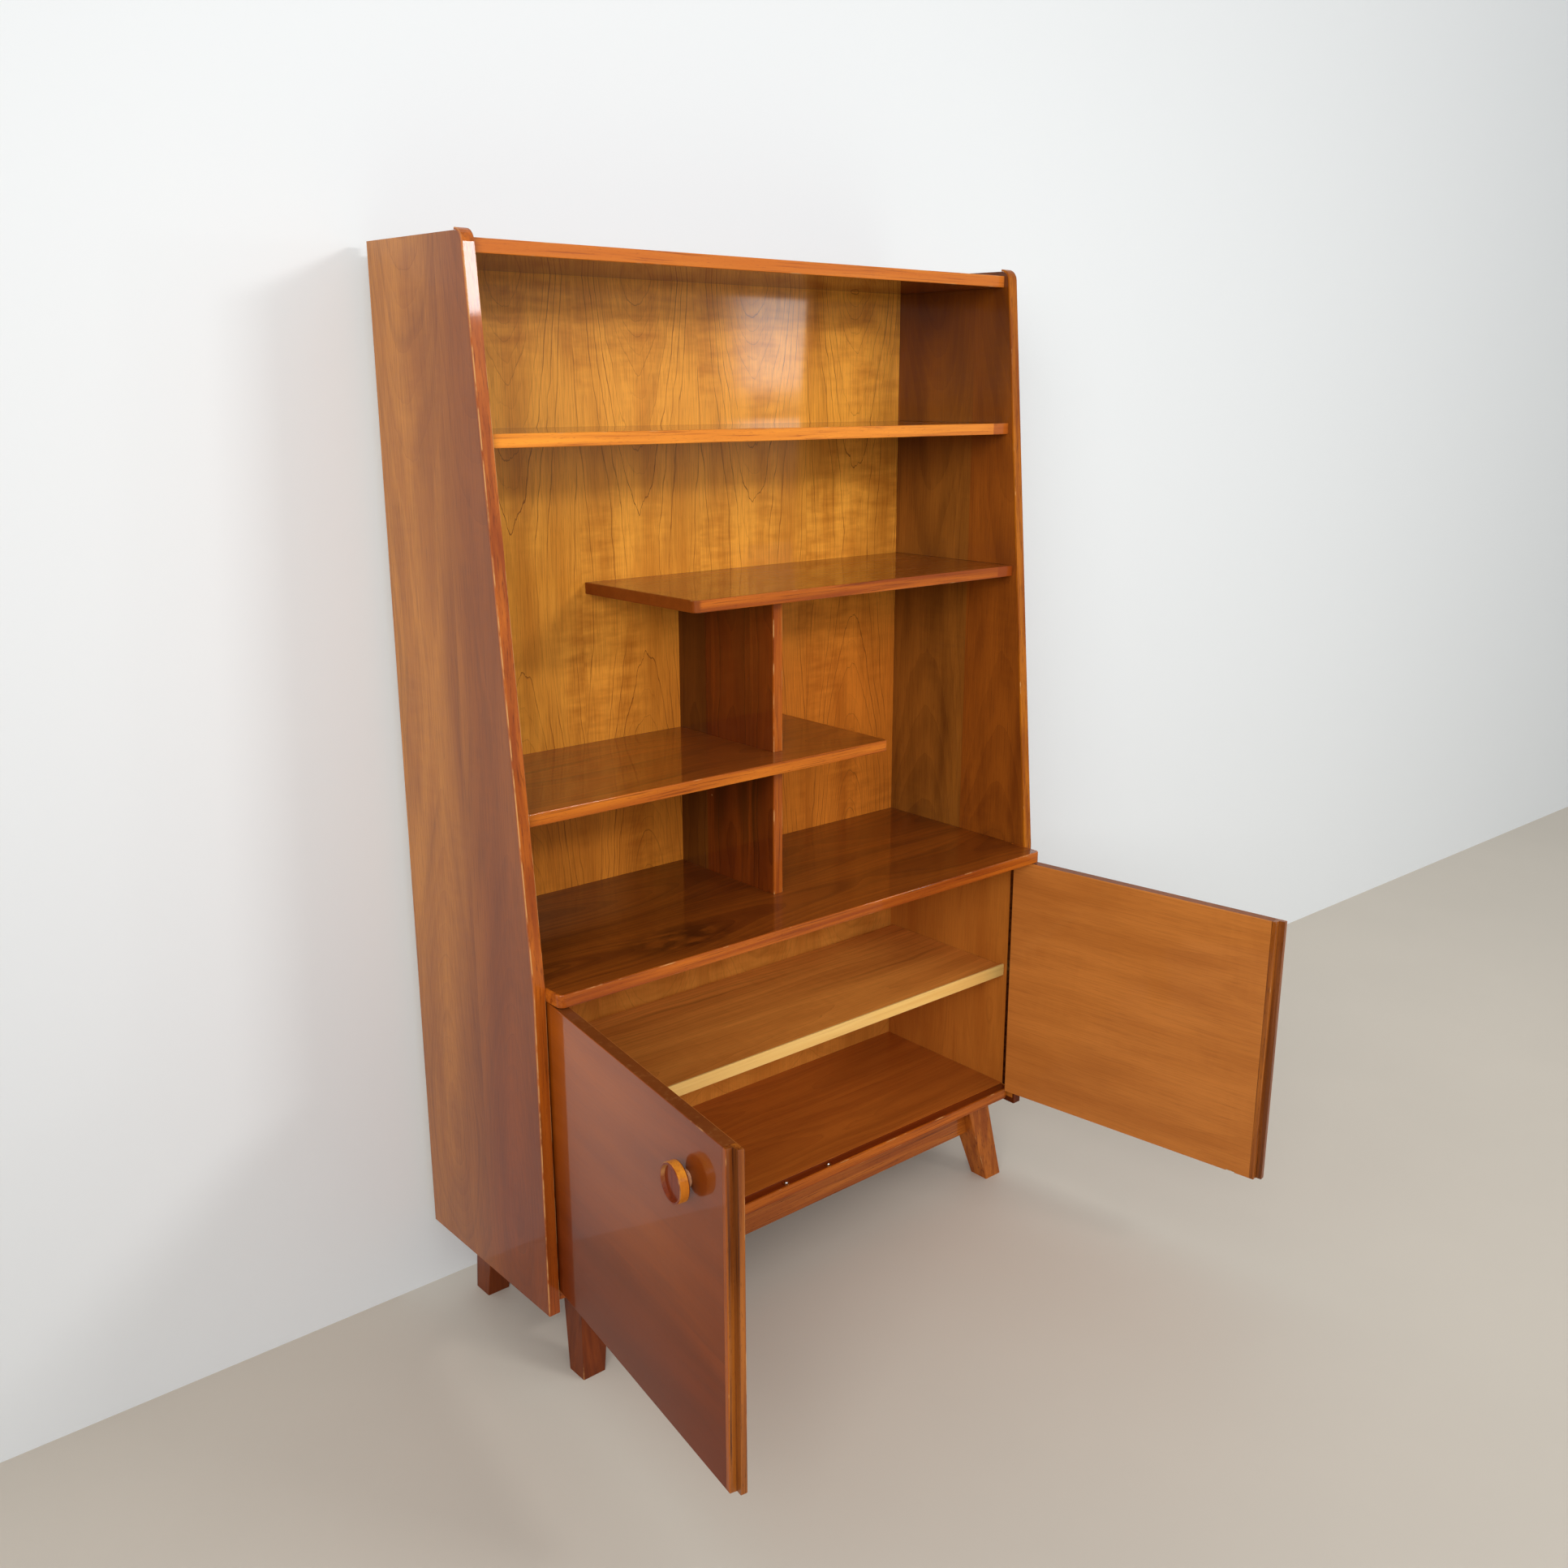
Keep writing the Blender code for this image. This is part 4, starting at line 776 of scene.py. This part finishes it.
# Heights and reaches over which the outer faces take painted shade.
DOOR_SHADE_RISE = (0.22, 0.60)
DOOR_SHADE_REACH = (0.10, 0.50)
DULL_RISE = (0.30, 0.62)
DULL_REACH = (0.28, 0.50)
doors = {}
for joint in frame["joints"]:
    if joint["type"] == "hinge":
        hinge = Vector((joint["pos_m"][0], joint["pos_m"][1], 0))
        sign = math.copysign(1.0, hinge.x)
        swing = sign * math.radians(joint["range_deg"][1])
        turn = Matrix.Rotation(swing, 3, "Z")
        doors[joint["child"]] = (sign, hinge, turn @ Vector((-sign, 0, 0)), turn @ Vector((0, 1, 0)))

for body, seed in (("left_door", 51.0), ("right_door", 57.0)):
    sign, hinge, along, inward = doors[body]
    material, tree, shader, place = new_material(f"{body}_veneer")
    from_hinge = on_vectors(tree, "SUBTRACT", place, hinge)
    depth = dot(tree, from_hinge, inward)
    inside = calculate(tree, "GREATER_THAN", depth, INNER_FACE - FACE_SKIN)
    outside = calculate(tree, "LESS_THAN", depth, OUTER_FACE + FACE_SKIN)
    height = split(tree, place)[2]
    reach = dot(tree, from_hinge, along)
    # Painted shade: the outer faces grow darker towards the floor and towards the free edge.
    door_shade = larger(tree, rise(tree, height, *DOOR_SHADE_RISE, 1.0, 0.0), rise(tree, reach, *DOOR_SHADE_REACH, 0.0, 0.70))
    outer = choose(tree, door_shade, DOOR_OUT, DOOR_FOOT_SHADE)
    polish = times(tree, outside, rise(tree, height, *DULL_RISE, 0.12, 0.51))
    polish = plus(tree, polish, times(tree, outside, rise(tree, reach, *DULL_REACH, 0.0, -0.14)))
    colours = choose(tree, inside, choose(tree, outside, DOOR_RIM, outer), DOOR_IN)
    grain = ((0, 0, 1), along)
    colour, height = lay_veneer(tree, place, grain, hinge + Vector((0, 0, LEAF_TRIM)), colours, DOOR_LINE,
                                Leaf=0.33, Ring=0.008, Depth=0.11, Bend=0.10, Middle=0.2, Sway=0.03,
                                Lines=0.14, Ripple=0.20, Streak=0.08, Band=0.25, Grain=0.55, Seed=seed)
    wear = rub_through(tree, place, inward, 0.35)
    rim = less(tree, 1.0, larger(tree, inside, outside))
    scuffs = rise(tree, cloud(tree, place, (150, 150, 150), 5.0), 0.52, 0.80, 0.0, 0.16)
    wear = larger(tree, wear, times(tree, scuffs, rim))
    lacquer(tree, shader, colour, height, wear)
    polish = plus(tree, polish, rise(tree, rim, 0.0, 1.0, 0.21, 0.06))
    tree.links.new(polish, shader.inputs["Coat Weight"])
    finish(material, body)
    outer_at = hinge.dot(inward) + OUTER_FACE
    step_at = hinge.dot(inward) + STEP_FACE
    # A thin dark band at the lap's step is a painted shadow line; the rest of the strip takes the edge and
    # face colours.
    changes = [(inward, step_at - STEP_SHADOW_BAND[1], step_at - STEP_SHADOW_BAND[0], DOOR_STEP_SHADOW),
               (inward, step_at + STEP_SHADOW_BAND[0], step_at + STEP_SHADOW_BAND[1], DOOR_EDGE),
               (inward, outer_at + FACE_SKIN, outer_at, (*DOOR_OUT, DOOR_LINE))]
    grain = (along, (0, 0, 1))
    finish(solid_wood(f"{body}_edge_wood", grain, inward, DOOR_EDGE, 0.45, 1.4, changes=changes),
           f"{body}_edge")

# Hinges
# Continuous hinges of bronzed sheet steel: two leaves rolled round a long pin. Slotted screws with raised
# heads hold one leaf to the side and the other to the door's edge.
BRONZE = ((0.155, 0.095, 0.048, 1), (0.060, 0.036, 0.020, 1))
LEAF_FACE = 0.0010
SCREW_INSET = 0.0125
SCREW_RADIUS = 0.0022
SCREW_RISE = 0.0005
SCREW_COUNT = 9
SCREW_END = 0.022
bronze = metal("bronzed_steel", BRONZE, 0.30)
for side in ("left", "right"):
    finish(bronze, f"{side}_door_leaf", f"{side}_frame_leaf")
    finish(brass, f"{side}_hinge_pin")
    sign, hinge, along, inward = doors[f"{side}_door"]
    low, high = (corner.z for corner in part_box(f"{side}_frame_leaf"))
    to_side = Vector((sign, 0, 0))
    back = Vector((0, 1, 0))
    for kind, body, out, deep in (("frame", "case", -to_side, back),
                                  ("door", f"{side}_door", -along, inward)):
        heads = bmesh.new()
        for step in range(SCREW_COUNT):
            z = low + SCREW_END + (high - low - 2 * SCREW_END) * step / (SCREW_COUNT - 1)
            seat = hinge + deep * SCREW_INSET - out * LEAF_FACE + Vector((0, 0, z))
            turn = Matrix.Rotation(2.4 * step, 3, out)
            dome(heads, seat, out, SCREW_RADIUS, SCREW_RISE, turn @ Vector((0, 0, 1)))
        screws = add_mesh(f"{side}_{kind}_screws", heads, bronze)
        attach(screws, body)

# Knobs
# Turned hardwood knobs, pale round the rim and stained dark on the sunk face, and polished on the lathe.
# Each sits on a waisted stem of plain wood that is glued into the door.
KNOB_RIM = ((0.800, 0.300, 0.024, 1), (0.560, 0.165, 0.014, 1), (0.240, 0.062, 0.009, 1))
# These dark colours are stained on the sunk face and front ring, and used on the rear face as painted shade.
KNOB_FACE = ((0.240, 0.036, 0.005, 1), (0.150, 0.020, 0.004, 1), (0.070, 0.010, 0.003, 1))
STEM_WOOD = ((0.850, 0.420, 0.220, 1), (0.620, 0.260, 0.110, 1), (0.260, 0.090, 0.034, 1))
KNOB_ALONG = 0.421
KNOB_HEIGHT = 0.563
KNOB_SUNK = 0.0232
KNOB_FRONT = 0.0221
KNOB_MIDDLE = 0.0120
KNOB_SHADED_REAR = 0.0105
for side in ("left", "right"):
    sign, hinge, along, inward = doors[f"{side}_door"]
    material, tree, shader, place = new_material(f"{side}_knob_wood")
    centre = hinge + along * KNOB_ALONG + Vector((0, 0, KNOB_HEIGHT))
    offset = on_vectors(tree, "SUBTRACT", place, centre)
    depth = dot(tree, offset, inward)
    span = add_node(tree, "ShaderNodeVectorMath", {0: offset}, operation="LENGTH").outputs["Value"]
    radius = calculate(tree, "SQRT", less(tree, times(tree, span, span), times(tree, depth, depth)))
    sunk = times(tree, calculate(tree, "LESS_THAN", radius, KNOB_SUNK),
                 calculate(tree, "LESS_THAN", depth, -KNOB_MIDDLE))
    # The front ring is stained dark; the rear face, towards the door, is painted dark as painted shade.
    ring_and_shaded_rear = larger(tree, calculate(tree, "LESS_THAN", depth, -KNOB_FRONT),
                  calculate(tree, "GREATER_THAN", depth, -KNOB_SHADED_REAR))
    dark = larger(tree, sunk, ring_and_shaded_rear)
    tones = [mix_colours(tree, dark, rim, face) for rim, face in zip(KNOB_RIM, KNOB_FACE)]
    wood = saw_wood(tree, place, UPRIGHT, tones, 0.7)
    wear = rub_through(tree, place, inward, 0.6)
    lacquer(tree, shader, wood.outputs["Color"], wood.outputs["Height"], wear, 0.6)
    tree.links.new(rise(tree, dark, 0.0, 1.0, 0.6, 0.3), shader.inputs["Coat Weight"])
    finish(material, f"{side}_knob")
    finish(solid_wood(f"{side}_stem_wood", UPRIGHT, (1, 0, 0), STEM_WOOD, 0.0), f"{side}_knob_stem")
